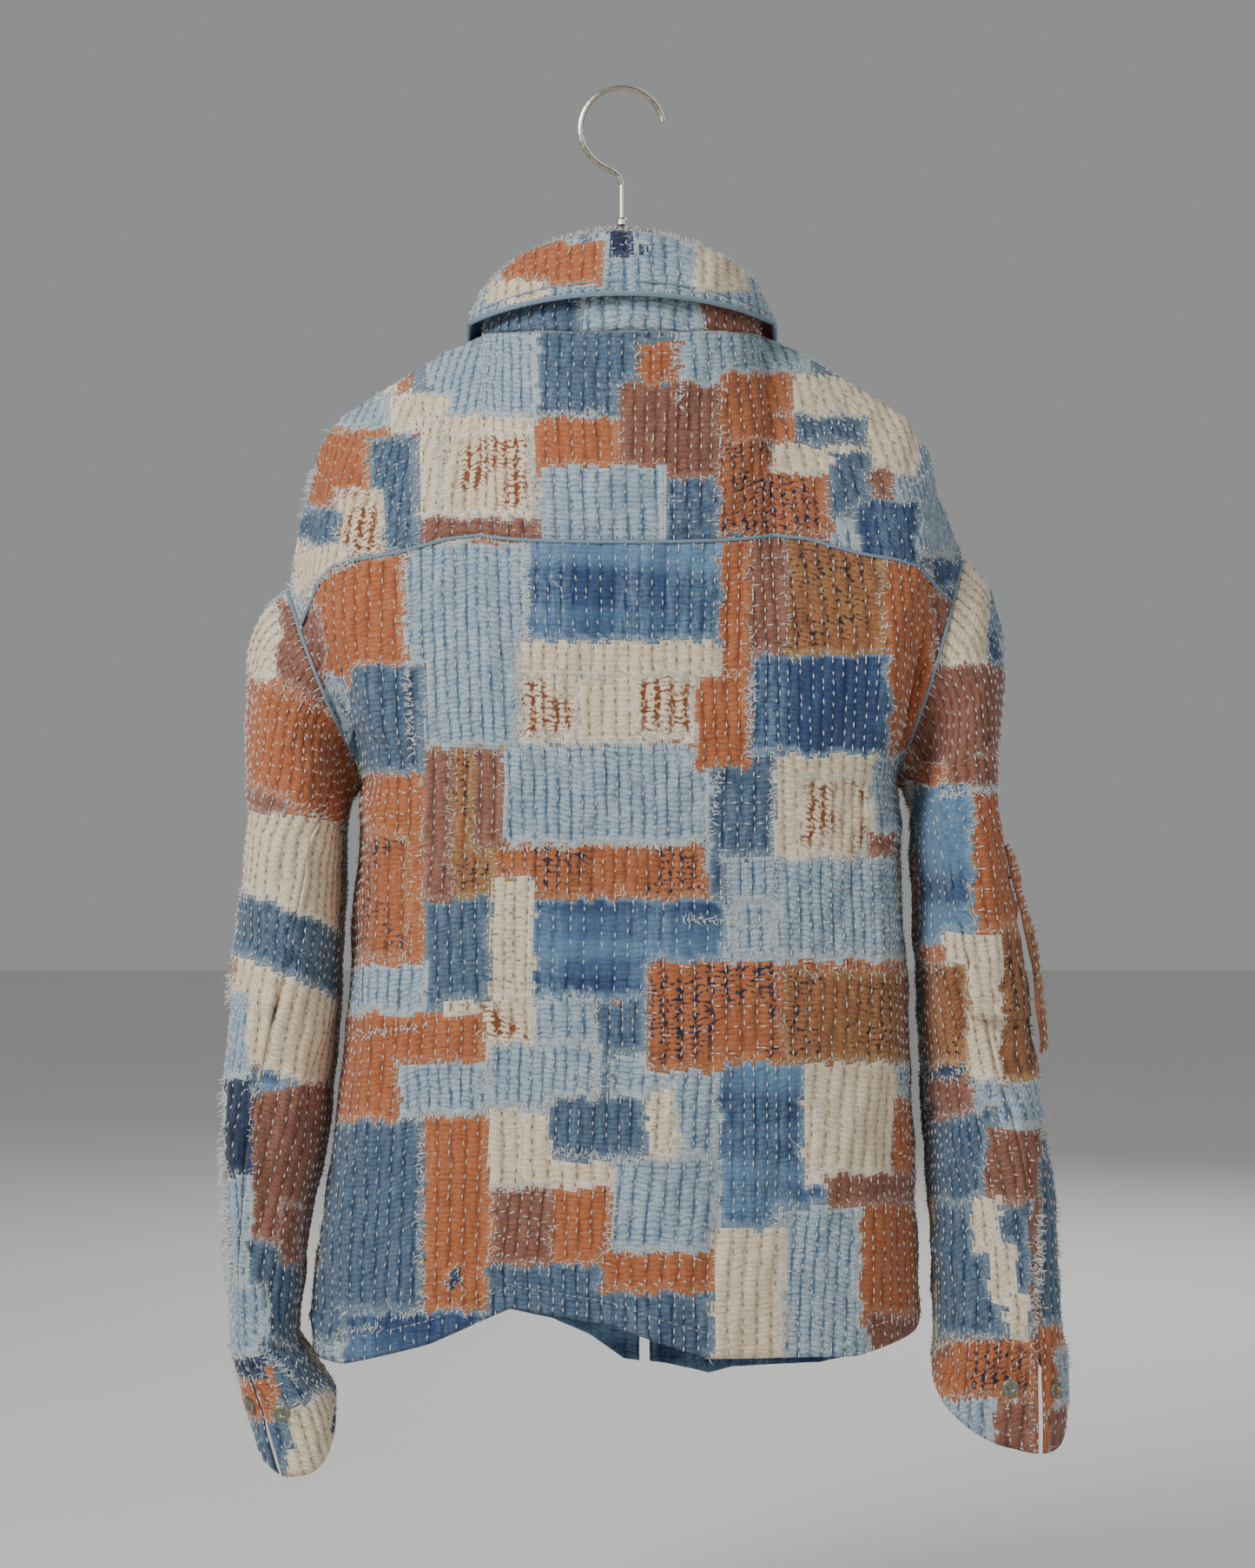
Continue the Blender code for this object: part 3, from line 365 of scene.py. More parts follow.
# Patch edges that have frayed to a white fringe: two ends in pixels
FRAYED = (
    (464, 640, 474, 868), (606, 634, 607, 740), (600, 750, 599, 852), (577, 975, 818, 971),
    (828, 888, 816, 970), (866, 782, 862, 870), (893, 872, 890, 1034), (785, 1056, 895, 1066),
    (394, 1196, 492, 1180), (613, 1150, 614, 1192), (685, 1157, 686, 1274), (459, 1290, 630, 1271),
    (630, 1326, 742, 1336), (486, 1290, 486, 1512), (390, 1536, 488, 1511), (568, 1366, 633, 1366),
    (704, 1383, 704, 1438), (706, 1438, 762, 1442), (892, 1400, 896, 1545), (940, 1230, 946, 1360),
    (1197, 1395, 1190, 1526), (1120, 1246, 1158, 1246), (1069, 1551, 1181, 1534),
    (1083, 917, 1152, 908), (258, 1322, 268, 1470), (300, 1553, 342, 1594), (1050, 900, 1052, 1040),
    (508, 484, 506, 590), (612, 484, 615, 600), (890, 478, 990, 480), (620, 480, 700, 476),
    (775, 395, 782, 470), (385, 500, 440, 486), (345, 600, 365, 540), (420, 640, 350, 680),
)


def smooth(value):
    value = min(max(value, 0.0), 1.0)
    return value * value * (3.0 - 2.0 * value)


def spread(first, last, count):
    return [first + (last - first) * k / (count - 1) for k in range(count)]


def read(table, key, column):
    """Value of a column at a key between two rows; the first column falls steadily."""
    if key >= table[0][0]:
        return table[0][column]
    for above, below in zip(table, table[1:]):
        if key >= below[0]:
            share = (above[0] - key) / (above[0] - below[0])
            return above[column] + (below[column] - above[column]) * share
    return table[-1][column]


def height_at(line, x):
    """z of a line of (x, z) points that run from left to right."""
    return read(line[::-1], x, 1)


def along(line, share):
    """Point at a share of a line's count of points."""
    place = min(max(share, 0.0), 1.0) * (len(line) - 1)
    first = min(int(place), len(line) - 2)
    part = place - first
    return [a + (b - a) * part for a, b in zip(line[first], line[first + 1])]


def oblong(angle, squareness):
    """Unit rounded oblong: sine part and cosine part at an angle."""
    power = 2.0 / squareness
    sine, cosine = math.sin(angle), math.cos(angle)
    return (math.copysign(abs(sine) ** power, sine),
            math.copysign(abs(cosine) ** power, cosine))


def even_angles(squareness, half, depth, count=400):
    """Angles at even steps of length along a quarter of a rounded oblong."""
    lengths, last = [0.0], (0.0, depth)
    for k in range(1, count + 1):
        sine, cosine = oblong(k / count * math.pi / 2, squareness)
        here = (half * sine, depth * max(cosine, 0.0))
        lengths.append(lengths[-1] + math.dist(here, last))
        last = here
    return [length / lengths[-1] for length in lengths]


BODY_LENGTHS = even_angles(BODY_SQUARENESS, 0.19, 0.10)


def body_angle(s):
    """Angle round the body for an even place across, -1 to 1."""
    share, steps = min(abs(s), 1.0), len(BODY_LENGTHS) - 1
    low = min(bisect.bisect_right(BODY_LENGTHS, share), steps) - 1
    part = (share - BODY_LENGTHS[low]) / (BODY_LENGTHS[low + 1] - BODY_LENGTHS[low])
    return math.copysign((low + part) / steps * math.pi / 2, s)


def neck_point(angle):
    """The neck edge; angle 0 is the middle of the back and pi the middle of the front."""
    back = math.cos(angle) > 0.0
    depth, drop = (NECK_BACK_Y, NECK_BACK_Z) if back else (NECK_FRONT_Y, NECK_FRONT_Z)
    low = (drop - NECK_SIDE_Z) * abs(math.cos(angle)) ** 1.3
    return Vector((NECK_HALF * math.sin(angle), depth * abs(math.cos(angle)),
                   NECK_SIDE_Z + low))


def top_edge(face, s):
    """Neck edge and shoulder ridge of a panel; face is -1 at the back and 1 at the front."""
    if abs(s) <= NECK_SHARE:
        angle = s / NECK_SHARE * math.pi / 2
        return neck_point(angle if face < 0 else math.pi - angle)
    ridge = LEFT_RIDGE if s < 0 else RIGHT_RIDGE
    x, z = along(ridge, (abs(s) - NECK_SHARE) / (1.0 - NECK_SHARE))
    return Vector((x, 0.0, z))


def body_section(face, s, z):
    """A point on the rounded oblong of the body at a height."""
    left, right = read(BODY_SECTIONS, z, 1), read(BODY_SECTIONS, z, 2)
    depth = read(BODY_SECTIONS, z, 3 if face < 0 else 4)
    sine, cosine = oblong(body_angle(s), BODY_SQUARENESS)
    middle, half = (left + right) / 2, (right - left) / 2
    return Vector((middle + half * sine, depth * max(cosine, 0.0), z))


def folds_at(folds, s, z):
    push = 0.0
    for place, depth, half, top, foot in folds:
        ends = smooth((top - z) / 0.06) * smooth((z - foot) / 0.05 + 1.0)
        push += depth * ends * math.exp(-(((s - place) / half) ** 2))
    return push


def body_point(face, s, t):
    """The body's cloth: t is 0 at the top edge, 1 at the underarm and 2 at the hem."""
    if t <= 1.0:
        top, chest = top_edge(face, s), body_section(face, s, CHEST_Z)
        point = top.lerp(chest, t)
        fall = math.sin(max(t, 0.0) * math.pi / 2) ** 0.75
        point.y = top.y + (chest.y - top.y) * fall
        point.y += face * ARMHOLE_BULGE * abs(s) ** 3 * math.sin(math.pi * max(t, 0.0))
    else:
        hem = BACK_HEM if face < 0 else FRONT_HEM
        foot = height_at(hem, body_section(face, s, -0.87).x)
        point = body_section(face, s, CHEST_Z + (foot - CHEST_Z) * (t - 1.0))
    folds = BACK_FOLDS if face < 0 else FRONT_FOLDS
    point.y += face * folds_at(folds, s, point.z) * (1.0 - abs(s) ** 8)
    if face > 0:
        point.x += FRONT_SHIFT * (1.0 - s * s) * t / 2
    point.y += face * SEAM_GAP / 2
    return point


def yoke_seam(s):
    """t of the seam across the back, which dips to the armholes."""
    return 0.475 - 0.26 * abs(s) ** 4


def sleeve_parts(side):
    return (LEFT_SLEEVE, LEFT_CUFF) if side < 0 else (RIGHT_SLEEVE, RIGHT_CUFF)


def sleeve_section(side, angle, z):
    """Angle 0 is the outer edge, pi/2 the back and pi the edge beside the body."""
    table = sleeve_parts(side)[0]
    outer, inner, middle_y, depth = (read(table, z, column) for column in (1, 2, 3, 4))
    sine, cosine = oblong(angle, SLEEVE_SQUARENESS)
    x = (outer + inner) / 2 + (outer - inner) / 2 * cosine
    point = Vector((x, middle_y - depth * sine, z))
    around = angle % (2 * math.pi)
    for height, place, push, wide, tall in SLEEVE_FOLDS:
        turn = math.exp(-(((around - place) / wide) ** 2))
        size = push * turn * math.exp(-(((z - height) / tall) ** 2))
        point.y += size * (-sine)
        point.x += side * size * cosine
    return point


def armhole(side, angle):
    """The body's edge at the sleeve, from the ridge down the back and up the front."""
    around = angle % (2 * math.pi)
    if around <= math.pi:
        return body_point(-1, side, around / math.pi)
    return body_point(1, side, 2.0 - around / math.pi)


def sleeve_point(side, angle, v):
    """v is 0 at the armhole, 1 under it and 2 at the cuff's edge."""
    if v >= 1.0:
        middle, swing, lowest = sleeve_parts(side)[1]
        foot = middle - swing * math.cos(angle - lowest)
        return sleeve_section(side, angle, SLEEVE_TOP + (foot - SLEEVE_TOP) * (v - 1.0))
    leave = Vector((side * 0.80, 0.0, -0.60))
    start = armhole(side, angle) + leave * ARMHOLE_GAP
    end = sleeve_section(side, angle, SLEEVE_TOP)
    reach = (end - start).length
    share = 1.0 - v
    first = start + leave * reach / 3
    last = end + Vector((-side * 0.10, 0.0, 1.0)) * reach / 3
    return (start * share ** 3 + first * 3 * share ** 2 * v
            + last * 3 * share * v ** 2 + end * v ** 3)


def seam_angle(ends, v):
    return ends[0] + (ends[1] - ends[0]) * smooth((v - 0.4) / 1.4)


def slit_half(v):
    """Half the angle left open at the back seam, wider in the cuff's slit."""
    width = SEAM_GAP + SLIT_WIDTH * smooth((v - 1.0 - SLIT_START) / 0.12)
    return width / 2 / 0.05


def stand_point(angle, share):
    """The collar's stand: share 0 at the neck seam and 1 at the fold."""
    base = neck_point(angle)
    rise = STAND_RISE[0] + STAND_RISE[1] * max(math.cos(angle), 0.0) ** 1.5
    away = Vector((base.x, base.y, 0.0)).normalized()
    height = STAND_SEAT + rise * share
    return base + Vector((0.0, 0.0, height)) - away * height * STAND_LEAN


def leaf_point(angle, share):
    """The collar's leaf: share 0 over the stand and 1 at its edge."""
    fold = stand_point(angle, 1.0)
    base = neck_point(angle)
    away = Vector((base.x, base.y, 0.0)).normalized()
    round_share = abs(angle) / COLLAR_SPAN
    turn = math.cos(angle)
    fall = LEAF_FALL[0] + LEAF_FALL[1] * max(turn, 0.0) + LEAF_FALL[2] * max(-turn, 0.0)
    flare = LEAF_FLARE[0] + LEAF_FLARE[1] * round_share
    bend = min(share / 0.12, 1.0)
    out = LEAF_CLEAR * math.sin(bend * math.pi / 2) + flare * fall * max(share - 0.06, 0.0)
    drop = fall * share - LEAF_LIFT
    return fold + away * out - Vector((0.0, 0.0, drop))


def in_photo(points):
    """Pixel coordinates of points, as the photograph's camera sees them."""
    away = points[..., 1] - CAMERA[1]
    u = PHOTO_WIDTH / 2 + (points[..., 0] - CAMERA[0]) / away * FOCAL_PIXELS
    v = PHOTO_HEIGHT / 2 - (points[..., 2] - CAMERA[2]) / away * FOCAL_PIXELS
    return u, v


def linear(red, green, blue):
    """Scene-linear colour of an sRGB colour given as 0 to 255."""
    return tuple((value / 255 / 12.92) if value < 11 else ((value / 255 + 0.055) / 1.055) ** 2.4
                 for value in (red, green, blue))


def nodes_of(name):
    made = bpy.data.materials.new(name)
    made.use_nodes = True
    tree = made.node_tree
    return made, tree, tree.nodes["Principled BSDF"]


def plug(tree, value, entry):
    """Link an output to a node's input, or set the input to a value."""
    if isinstance(value, bpy.types.NodeSocket):
        tree.links.new(value, entry)
    elif entry.type == "RGBA":
        entry.default_value = (*value, 1.0)
    else:
        entry.default_value = value


def feed(tree, node, **inputs):
    """Fill the named inputs of a node; a name has _ for each space."""
    for key, value in inputs.items():
        plug(tree, value, node.inputs[key.replace("_", " ")])
    return node


def add(tree, kind, **inputs):
    """A new node with the named inputs filled."""
    return feed(tree, tree.nodes.new(kind), **inputs)


def place_of(tree):
    return add(tree, "ShaderNodeTexCoord").outputs["Object"]


def mix(tree, factor, first, second):
    """Colour between two; each may be a socket or a colour."""
    node = tree.nodes.new("ShaderNodeMix")
    node.data_type = "RGBA"
    for index, value in ((0, factor), (6, first), (7, second)):
        plug(tree, value, node.inputs[index])
    return node.outputs[2]


def ramp(tree, socket, low, high):
    """0 below low, 1 above high."""
    node = add(tree, "ShaderNodeMapRange", From_Min=low, From_Max=high, Value=socket)
    return node.outputs["Result"]


def scaled_noise(tree, where, scale, stretch=(1.0, 1.0, 1.0), detail=3.0):
    mapping = add(tree, "ShaderNodeMapping", Scale=stretch, Vector=where)
    node = add(tree, "ShaderNodeTexNoise", Scale=scale, Detail=detail,
               Vector=mapping.outputs["Vector"])
    return node.outputs["Fac"]


def math_node(tree, operation, *values):
    node = tree.nodes.new("ShaderNodeMath")
    node.operation = operation
    for value, entry in zip(values, node.inputs):
        plug(tree, value, entry)
    return node.outputs[0]


def times(tree, first, second):
    return math_node(tree, "MULTIPLY", first, second)


def tint(tree, color, source, low, high, strength, other):
    """A colour turned towards another where a source rises from low to high."""
    return mix(tree, times(tree, ramp(tree, source, low, high), strength), color, other)


def bump(tree, strength, distance, height, **below):
    node = add(tree, "ShaderNodeBump", Strength=strength, Distance=distance, Height=height,
               **below)
    return node.outputs["Normal"]


def attribute(tree, name):
    node = tree.nodes.new("ShaderNodeAttribute")
    node.attribute_name = name
    return node.outputs["Fac"]


def arches(tree, phase, speed):
    """0 at each whole number of the phase times the speed, 1 half way between."""
    turn = math_node(tree, "MULTIPLY", phase, math.pi * speed)
    rise = math_node(tree, "ABSOLUTE", math_node(tree, "SINE", turn))
    return math_node(tree, "POWER", rise, 0.7)


def beads(tree, where):
    """Height of the small puckers: two to each stitch, between the rows of stitches."""
    sway = scaled_noise(tree, where, 85.0)
    rows = math_node(tree, "MULTIPLY_ADD", sway, 0.42, attribute(tree, "row"))
    ticks = math_node(tree, "MULTIPLY_ADD", sway, 1.30, attribute(tree, "tick"))
    short = math_node(tree, "MULTIPLY_ADD", arches(tree, ticks, 2.0), 0.66, 0.34)
    return times(tree, arches(tree, math_node(tree, "SUBTRACT", rows, 0.21), 1.0), short)


def cloth_material(cloth):
    """Washed cotton: crests faded, valleys darkened with painted shade and less wear, holes worn
    through and edges frayed pale.
    """
    made, tree, shader = nodes_of("cloth_" + cloth)
    *colors, holes, worn = COLORS[cloth]
    crest, valley_tone_and_shade, hole, worn = (linear(*color) for color in (*colors, worn))
    where = place_of(tree)
    bead = beads(tree, where)
    slub = scaled_noise(tree, where, 520.0, (1.0, 1.0, 0.16))
    weft = scaled_noise(tree, where, 520.0, (0.16, 1.0, 1.0))
    blotch = scaled_noise(tree, where, 42.0)
    # painted shade: the colour falls to the darker valleys' colour down in the quilting's dips and
    # rises to the crest colour on the puckers' tops
    color = mix(tree, ramp(tree, bead, 0.18, 0.74), valley_tone_and_shade, crest)
    color = tint(tree, color, slub, 0.45, 0.68, 0.42, worn)
    color = tint(tree, color, weft, 0.45, 0.68, 0.36, valley_tone_and_shade)
    color = tint(tree, color, blotch, 0.42, 0.72, 0.28, valley_tone_and_shade)
    if cloth == "PI":
        bands = scaled_noise(tree, where, 26.0, (1.0, 0.0, 0.12), 1.0)
        rows = scaled_noise(tree, where, 26.0, (0.12, 0.0, 1.0), 1.0)
        color = tint(tree, color, bands, 0.44, 0.56, 0.66, linear(*INDIGO_BAND))
        color = tint(tree, color, rows, 0.47, 0.60, 0.42, linear(*INDIGO_ROW))
    if cloth == "BH":
        ochre = scaled_noise(tree, where, 30.0)
        color = tint(tree, color, ochre, 0.52, 0.66, 0.30, linear(*OCHRE))
    if holes:
        spots = scaled_noise(tree, where, 330.0, (1.1, 1.0, 1.0), 1.0)
        regions = scaled_noise(tree, where, 24.0, (1.0, 1.0, 1.0), 1.0)
        low = ramp(tree, bead, 0.90, 0.55)
        torn = times(tree, ramp(tree, spots, 0.56 - holes * 0.22, 0.60 - holes * 0.22),
                     times(tree, ramp(tree, regions, 0.42, 0.52), low))
        color = mix(tree, torn, color, hole)
    color = mix(tree, times(tree, attribute(tree, "edge"), 0.50), color, worn)
    warp = scaled_noise(tree, where, 1500.0, (1.0, 1.0, 0.35), 2.0)
    crinkle = scaled_noise(tree, where, 260.0, (0.35, 1.0, 1.4), 4.0)
    weave = bump(tree, 0.35, 0.0006, warp)
    folds = bump(tree, 0.75, 0.0022, crinkle, Normal=weave)
    swell = bump(tree, 0.5, 0.0010, bead, Normal=folds)
    feed(tree, shader, Base_Color=color, Roughness=0.92, Specular_IOR_Level=0.18,
         Sheen_Weight=0.16, Sheen_Roughness=0.6, Normal=swell)
    return made


def uneven(tree, color, source, high, dull):
    """A colour that darkens to a share of itself where a source falls."""
    full = linear(*color)
    return mix(tree, ramp(tree, source, 0.35, high), tuple(value * dull for value in full), full)


def metal_material(name, color, roughness):
    made, tree, shader = nodes_of(name)
    grain = scaled_noise(tree, place_of(tree), 900.0, (1.0, 1.0, 0.3))
    rough = add(tree, "ShaderNodeMapRange", To_Min=roughness, To_Max=roughness + 0.18,
                Value=grain)
    feed(tree, shader, Base_Color=uneven(tree, color, grain, 0.7, 0.62), Metallic=1.0,
         Roughness=rough.outputs["Result"])
    return made


def thread_material(name, color):
    made, tree, shader = nodes_of(name)
    twist = scaled_noise(tree, place_of(tree), 1400.0, (1.0, 1.0, 0.4))
    feed(tree, shader, Base_Color=uneven(tree, color, twist, 0.6, 0.72), Roughness=0.8)
    return made


def show(name, data):
    made = bpy.data.objects.new(name, data)
    bpy.context.scene.collection.objects.link(made)
    return made


def mesh_of(name, points, faces, looks):
    mesh = bpy.data.meshes.new(name)
    mesh.from_pydata([tuple(point) for point in points], [], faces)
    for look in looks:
        mesh.materials.append(look)
    return show(name, mesh)


def grid_of(point_at, places):
    return np.array([[tuple(point_at(*place)) for place in line] for line in places])


def grid_normals(grid):
    down = np.gradient(grid, axis=0)
    across = np.gradient(grid, axis=1)
    normal = np.cross(across, -down)
    return normal / np.maximum(np.linalg.norm(normal, axis=2, keepdims=True), 1e-12)


def lengths(grid, axis):
    """Distance from the first row or column to each point."""
    steps = np.linalg.norm(np.diff(grid, axis=axis), axis=2)
    pad = ((1, 0), (0, 0)) if axis == 0 else ((0, 0), (1, 0))
    return np.pad(np.cumsum(steps, axis=axis), pad)


def ripple(a, b, phase):
    """An uneven number between about -1 and 1 that changes slowly with place."""
    return (np.sin(a * 1.7 + phase) * np.sin(b * 1.3 - phase * 2.0)
            + 0.6 * np.sin(a * 3.9 - b * 2.1 + phase * 1.3)) / 1.6


def patches_of(grid, patches, seed):
    """The patch of each point, as an index from 0, or -1 outside them all."""
    u, v = in_photo(grid)
    draw = np.random.default_rng(seed)
    rough = draw.normal(0.0, 1.0, u.shape)
    patch = np.zeros(u.shape, int) - 1
    for index, (cloth, left, right, top, bottom, *tilt) in enumerate(patches):
        slope = tilt[0] if tilt else 0.0
        bend_u = PATCH_SWAY * ripple(v / 17.0, u / 60.0, index * 2.3) + rough * 0.5
        bend_v = PATCH_SWAY * ripple(u / 15.0, v / 60.0, index * 1.7) + rough * 0.5
        fall = v - slope * (u - (left + right) / 2) + bend_v
        inside = (u + bend_u > left) & (u + bend_u < right) & (fall > top) & (fall < bottom)
        patch[inside] = index
    return patch


def hidden_patches(across, down, seed):
    """Plain patchwork where the photo doesn't reach: rows of uneven patches."""
    draw = random.Random(seed)
    names = ["LD"]
    patch = np.zeros(across.shape, int)
    for row in range(math.ceil(down.max() / PATCH_DROP) + 1):
        place = across.min() - draw.uniform(0.0, 0.05)
        while place < across.max():
            wide, tall = draw.uniform(*PATCH_WIDTHS), draw.uniform(*PATCH_HEIGHTS)
            top = (row - 0.5) * PATCH_DROP + draw.uniform(-0.02, 0.02)
            fresh = [cloth for cloth in HIDDEN_CLOTHS if cloth != names[-1]]
            index = len(names)
            names.append(draw.choice(fresh))
            x = across + HIDDEN_SWAY * ripple(down / 0.010, across / 0.035, index * 2.3)
            y = down + HIDDEN_SWAY * ripple(across / 0.009, down / 0.035, index * 1.7)
            patch[(x > place) & (x < place + wide) & (y > top) & (y < top + tall)] = index
            place += wide - PATCH_LAP
    return patch, names


def edge_share(patch):
    """1 at a point beside another patch, 0 elsewhere."""
    edge = np.zeros(patch.shape)
    beside = np.diff(patch, axis=1) != 0
    below = np.diff(patch, axis=0) != 0
    for part, other in ((edge[:, 1:], beside), (edge[:, :-1], beside),
                        (edge[1:], below), (edge[:-1], below)):
        part[other] = 1.0
    return edge


def stitch_rows(across, down, patch):
    """Whole numbers at the rows of stitches, and at the stitches' ends along them."""
    lean = 0.05 * np.sin(patch * 2.7)
    width = CHANNEL * (1.0 + 0.16 * np.sin(patch * 1.9 + 0.4))
    row = (across + down * lean) / width + patch * 0.37
    return row, down / STITCH_PITCH + 0.25 * np.sin(across / 0.03 + patch)


def quilt(across, down, patch):
    """Height of the puckers from 0 to 1: low along the rows of stitches and between them."""
    row, tick = stitch_rows(across, down, patch)
    ridge = np.abs(np.sin(np.pi * row)) ** 0.7
    bead = np.abs(np.sin(np.pi * tick)) ** 0.7
    return ridge * (0.42 + 0.58 * bead)


def from_line(u, v, left, top, right, foot):
    """Share of the way along a line in the photo, distance to its side, and its direction."""
    run = np.array((right - left, foot - top), float)
    size = np.linalg.norm(run)
    run /= size
    share = ((u - left) * run[0] + (v - top) * run[1]) / size
    return share, (u - left) * -run[1] + (v - top) * run[0], run


def creases(grid, facing):
    """Push of the main creases where the camera sees the cloth."""
    u, v = in_photo(grid)
    push = np.zeros(u.shape)
    for *line, half, depth in CREASES:
        share, off, _ = from_line(u, v, *line)
        off = off + 5.0 * np.sin(share * 5.0 + line[0])
        ends = np.clip(share * 3.0, 0.0, 1.0) * np.clip((1.0 - share) * 3.0, 0.0, 1.0)
        push += depth * np.exp(-((off / half) ** 2)) * ends
    return CREASE_SCALE * push * facing


def soft_creases(grid, seed):
    """Soft uneven creasing of the cloth, as a height in metres."""
    x, z = grid[..., 0] * 60.0, grid[..., 2] * 45.0
    return 0.0012 * ripple(x, z, seed) + 0.0006 * ripple(x * 2.7, z * 2.2, seed * 3.0)


def unit(vector):
    return vector / max(np.linalg.norm(vector), 1e-9)


class Threads:
    """Many small stitches or loose ends in one mesh."""

    def __init__(self):
        self.points, self.faces = [], []

    def stitch(self, start, end, normal, width, rise):
        side = unit(np.cross(end - start, normal)) * width / 2
        middle = (start + end) / 2
        base = len(self.points)
        self.points += [start, end, middle + side, middle - side, middle + normal * rise]
        self.faces += [(base, base + 2, base + 4), (base, base + 4, base + 3),
                       (base + 1, base + 4, base + 2), (base + 1, base + 3, base + 4)]

    def hair(self, root, tip, normal, width):
        side = unit(np.cross(tip - root, normal)) * width / 2
        middle = (root + tip) / 2 + normal * np.linalg.norm(tip - root) * 0.16 + side * 2.2
        base = len(self.points)
        self.points += [root - side, root + side, middle - side, middle + side, tip]
        self.faces += [(base, base + 1, base + 3, base + 2), (base + 2, base + 3, base + 4)]

    def make(self, name, look):
        made = mesh_of(name, self.points, self.faces, [look])
        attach(made, "root")
        return made


BACKWARD = np.array((0.0, -1.0, 0.0))       # from the jacket's back towards the camera

# Kits of thread that the functions below fill
WHITE, GREY, HAIR, PIPING = Threads(), Threads(), Threads(), Threads()


def cloth_mesh(name, grid, slots, looks, layers):
    """A sheet of quads with one material slot a face and named values at its points."""
    rows, columns = grid.shape[:2]
    spots = np.arange(rows * columns).reshape(rows, columns)
    around = (spots[:-1, :-1], spots[1:, :-1], spots[1:, 1:], spots[:-1, 1:])
    faces = np.stack(around, axis=2).reshape(-1, 4).tolist()
    made = mesh_of(name, grid.reshape(-1, 3), faces, looks)
    mesh = made.data
    mesh.polygons.foreach_set("material_index", slots)
    mesh.shade_smooth()
    for label, values in layers.items():
        layer = mesh.attributes.new(label, "FLOAT", "POINT")
        layer.data.foreach_set("value", values.ravel().astype(np.float32))
    solid = made.modifiers.new("wall", "SOLIDIFY")
    solid.thickness = WALL
    solid.offset = -1.0
    return made


def cloth_panel(name, point_at, places, node, looks, patches, seed, hem=None, lift=0.0):
    """A fine quilted shell on a panel's form, with its stitches and frayed edges.

    A panel with a hem cloth is out of the photo's sight and gets the plain patchwork.
    """
    base = grid_of(point_at, places)
    normal = grid_normals(base)
    across = lengths(base, 1)
    across = across - across[:, across.shape[1] // 2][:, None]
    down = lengths(base, 0)
    fall = base[..., 2].max() - base[..., 2]
    if hem:
        patch, names = hidden_patches(across, fall, seed)
        patch = np.where(down > down[-1] - HEM_BAND, len(names), patch)
        names.append(hem)
        facing = np.zeros(patch.shape)
    else:
        patch = patches_of(base, patches, seed)
        spare, spare_names = hidden_patches(across, fall, seed)
        names = [row[0] for row in patches] + spare_names
        facing = normal[..., 1] < FACING
        patch = np.where((patch < 0) | ~facing, spare + len(patches), patch)
    border = np.zeros(patch.shape)
    border[1:-1, 1:-1] = 1.0
    form = soft_creases(base, seed) + creases(base, facing)
    height = PUCKER * (quilt(across, down, patch) - 0.35) + (patch % 4) * PATCH_STEP
    out = lift + (height + form) * border
    grid = base + normal * out[..., None]
    slots = [CLOTHS.index(names[index]) for index in patch[:-1, :-1].ravel()]
    row, tick = stitch_rows(across, down, patch)
    made = cloth_mesh(name, grid, slots, [looks[cloth] for cloth in CLOTHS],
                      {"row": row, "tick": tick, "edge": edge_share(patch)})
    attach(made, "root")
    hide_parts(node)
    draw = np.random.default_rng(seed)
    sew(grid, normal, across, down, patch, names, draw)
    fray(grid, normal, patch, draw)
    if not hem:
        fringe(grid, normal, seed)


def sew(grid, normal, across, down, patch, names, draw):
    """Running stitch down the valleys of the quilting."""
    for index in np.unique(patch):
        row, tick = stitch_rows(across, down, np.full(patch.shape, index))
        mine = patch == index
        kit = GREY if names[index] in UNDER_THREAD else WHITE
        crossing = mine[:, :-1] & (np.floor(row[:, :-1]) != np.floor(row[:, 1:]))
        stitch_line(kit, grid, normal, crossing, np.round(row), np.floor(tick), (1, 0), draw)
        if index % 4 == 1:
            pair = tick / 2.0
            crossing = mine[:-1, :] & (np.floor(pair[:-1, :]) != np.floor(pair[1:, :]))
            stitch_line(kit, grid, normal, crossing, np.round(pair), np.floor(row), (0, 1), draw)


def stitch_line(kit, grid, normal, crossing, lines, ticks, step, draw):
    """One stitch for each tick along each line, running one step of the grid on."""
    rows, columns = lines.shape
    spots = {}
    for i, j in zip(*np.nonzero(crossing)):
        spots.setdefault((int(lines[i, j]), int(ticks[i, j])), (i, j))
    for key in sorted(spots):
        i, j = spots[key]
        if i + 1 >= rows or j + 1 >= columns or draw.random() < SKIPPED:
            continue
        run = grid[i + step[0], j + step[1]] - grid[i, j]
        aside = grid[i + step[1], j + step[0]] - grid[i, j]
        run = unit(run) * STITCH_LENGTH * (0.75 + 0.5 * draw.random())
        start = grid[i, j] + aside / 2 + normal[i, j] * 0.0002
        sway = aside * (draw.random() - 0.5) * 0.35
        wide = STITCH_WIDTH * (GREY_SHARE if kit is GREY else 1.0)
        kit.stitch(start, start + run + sway, normal[i, j], wide, STITCH_RISE)


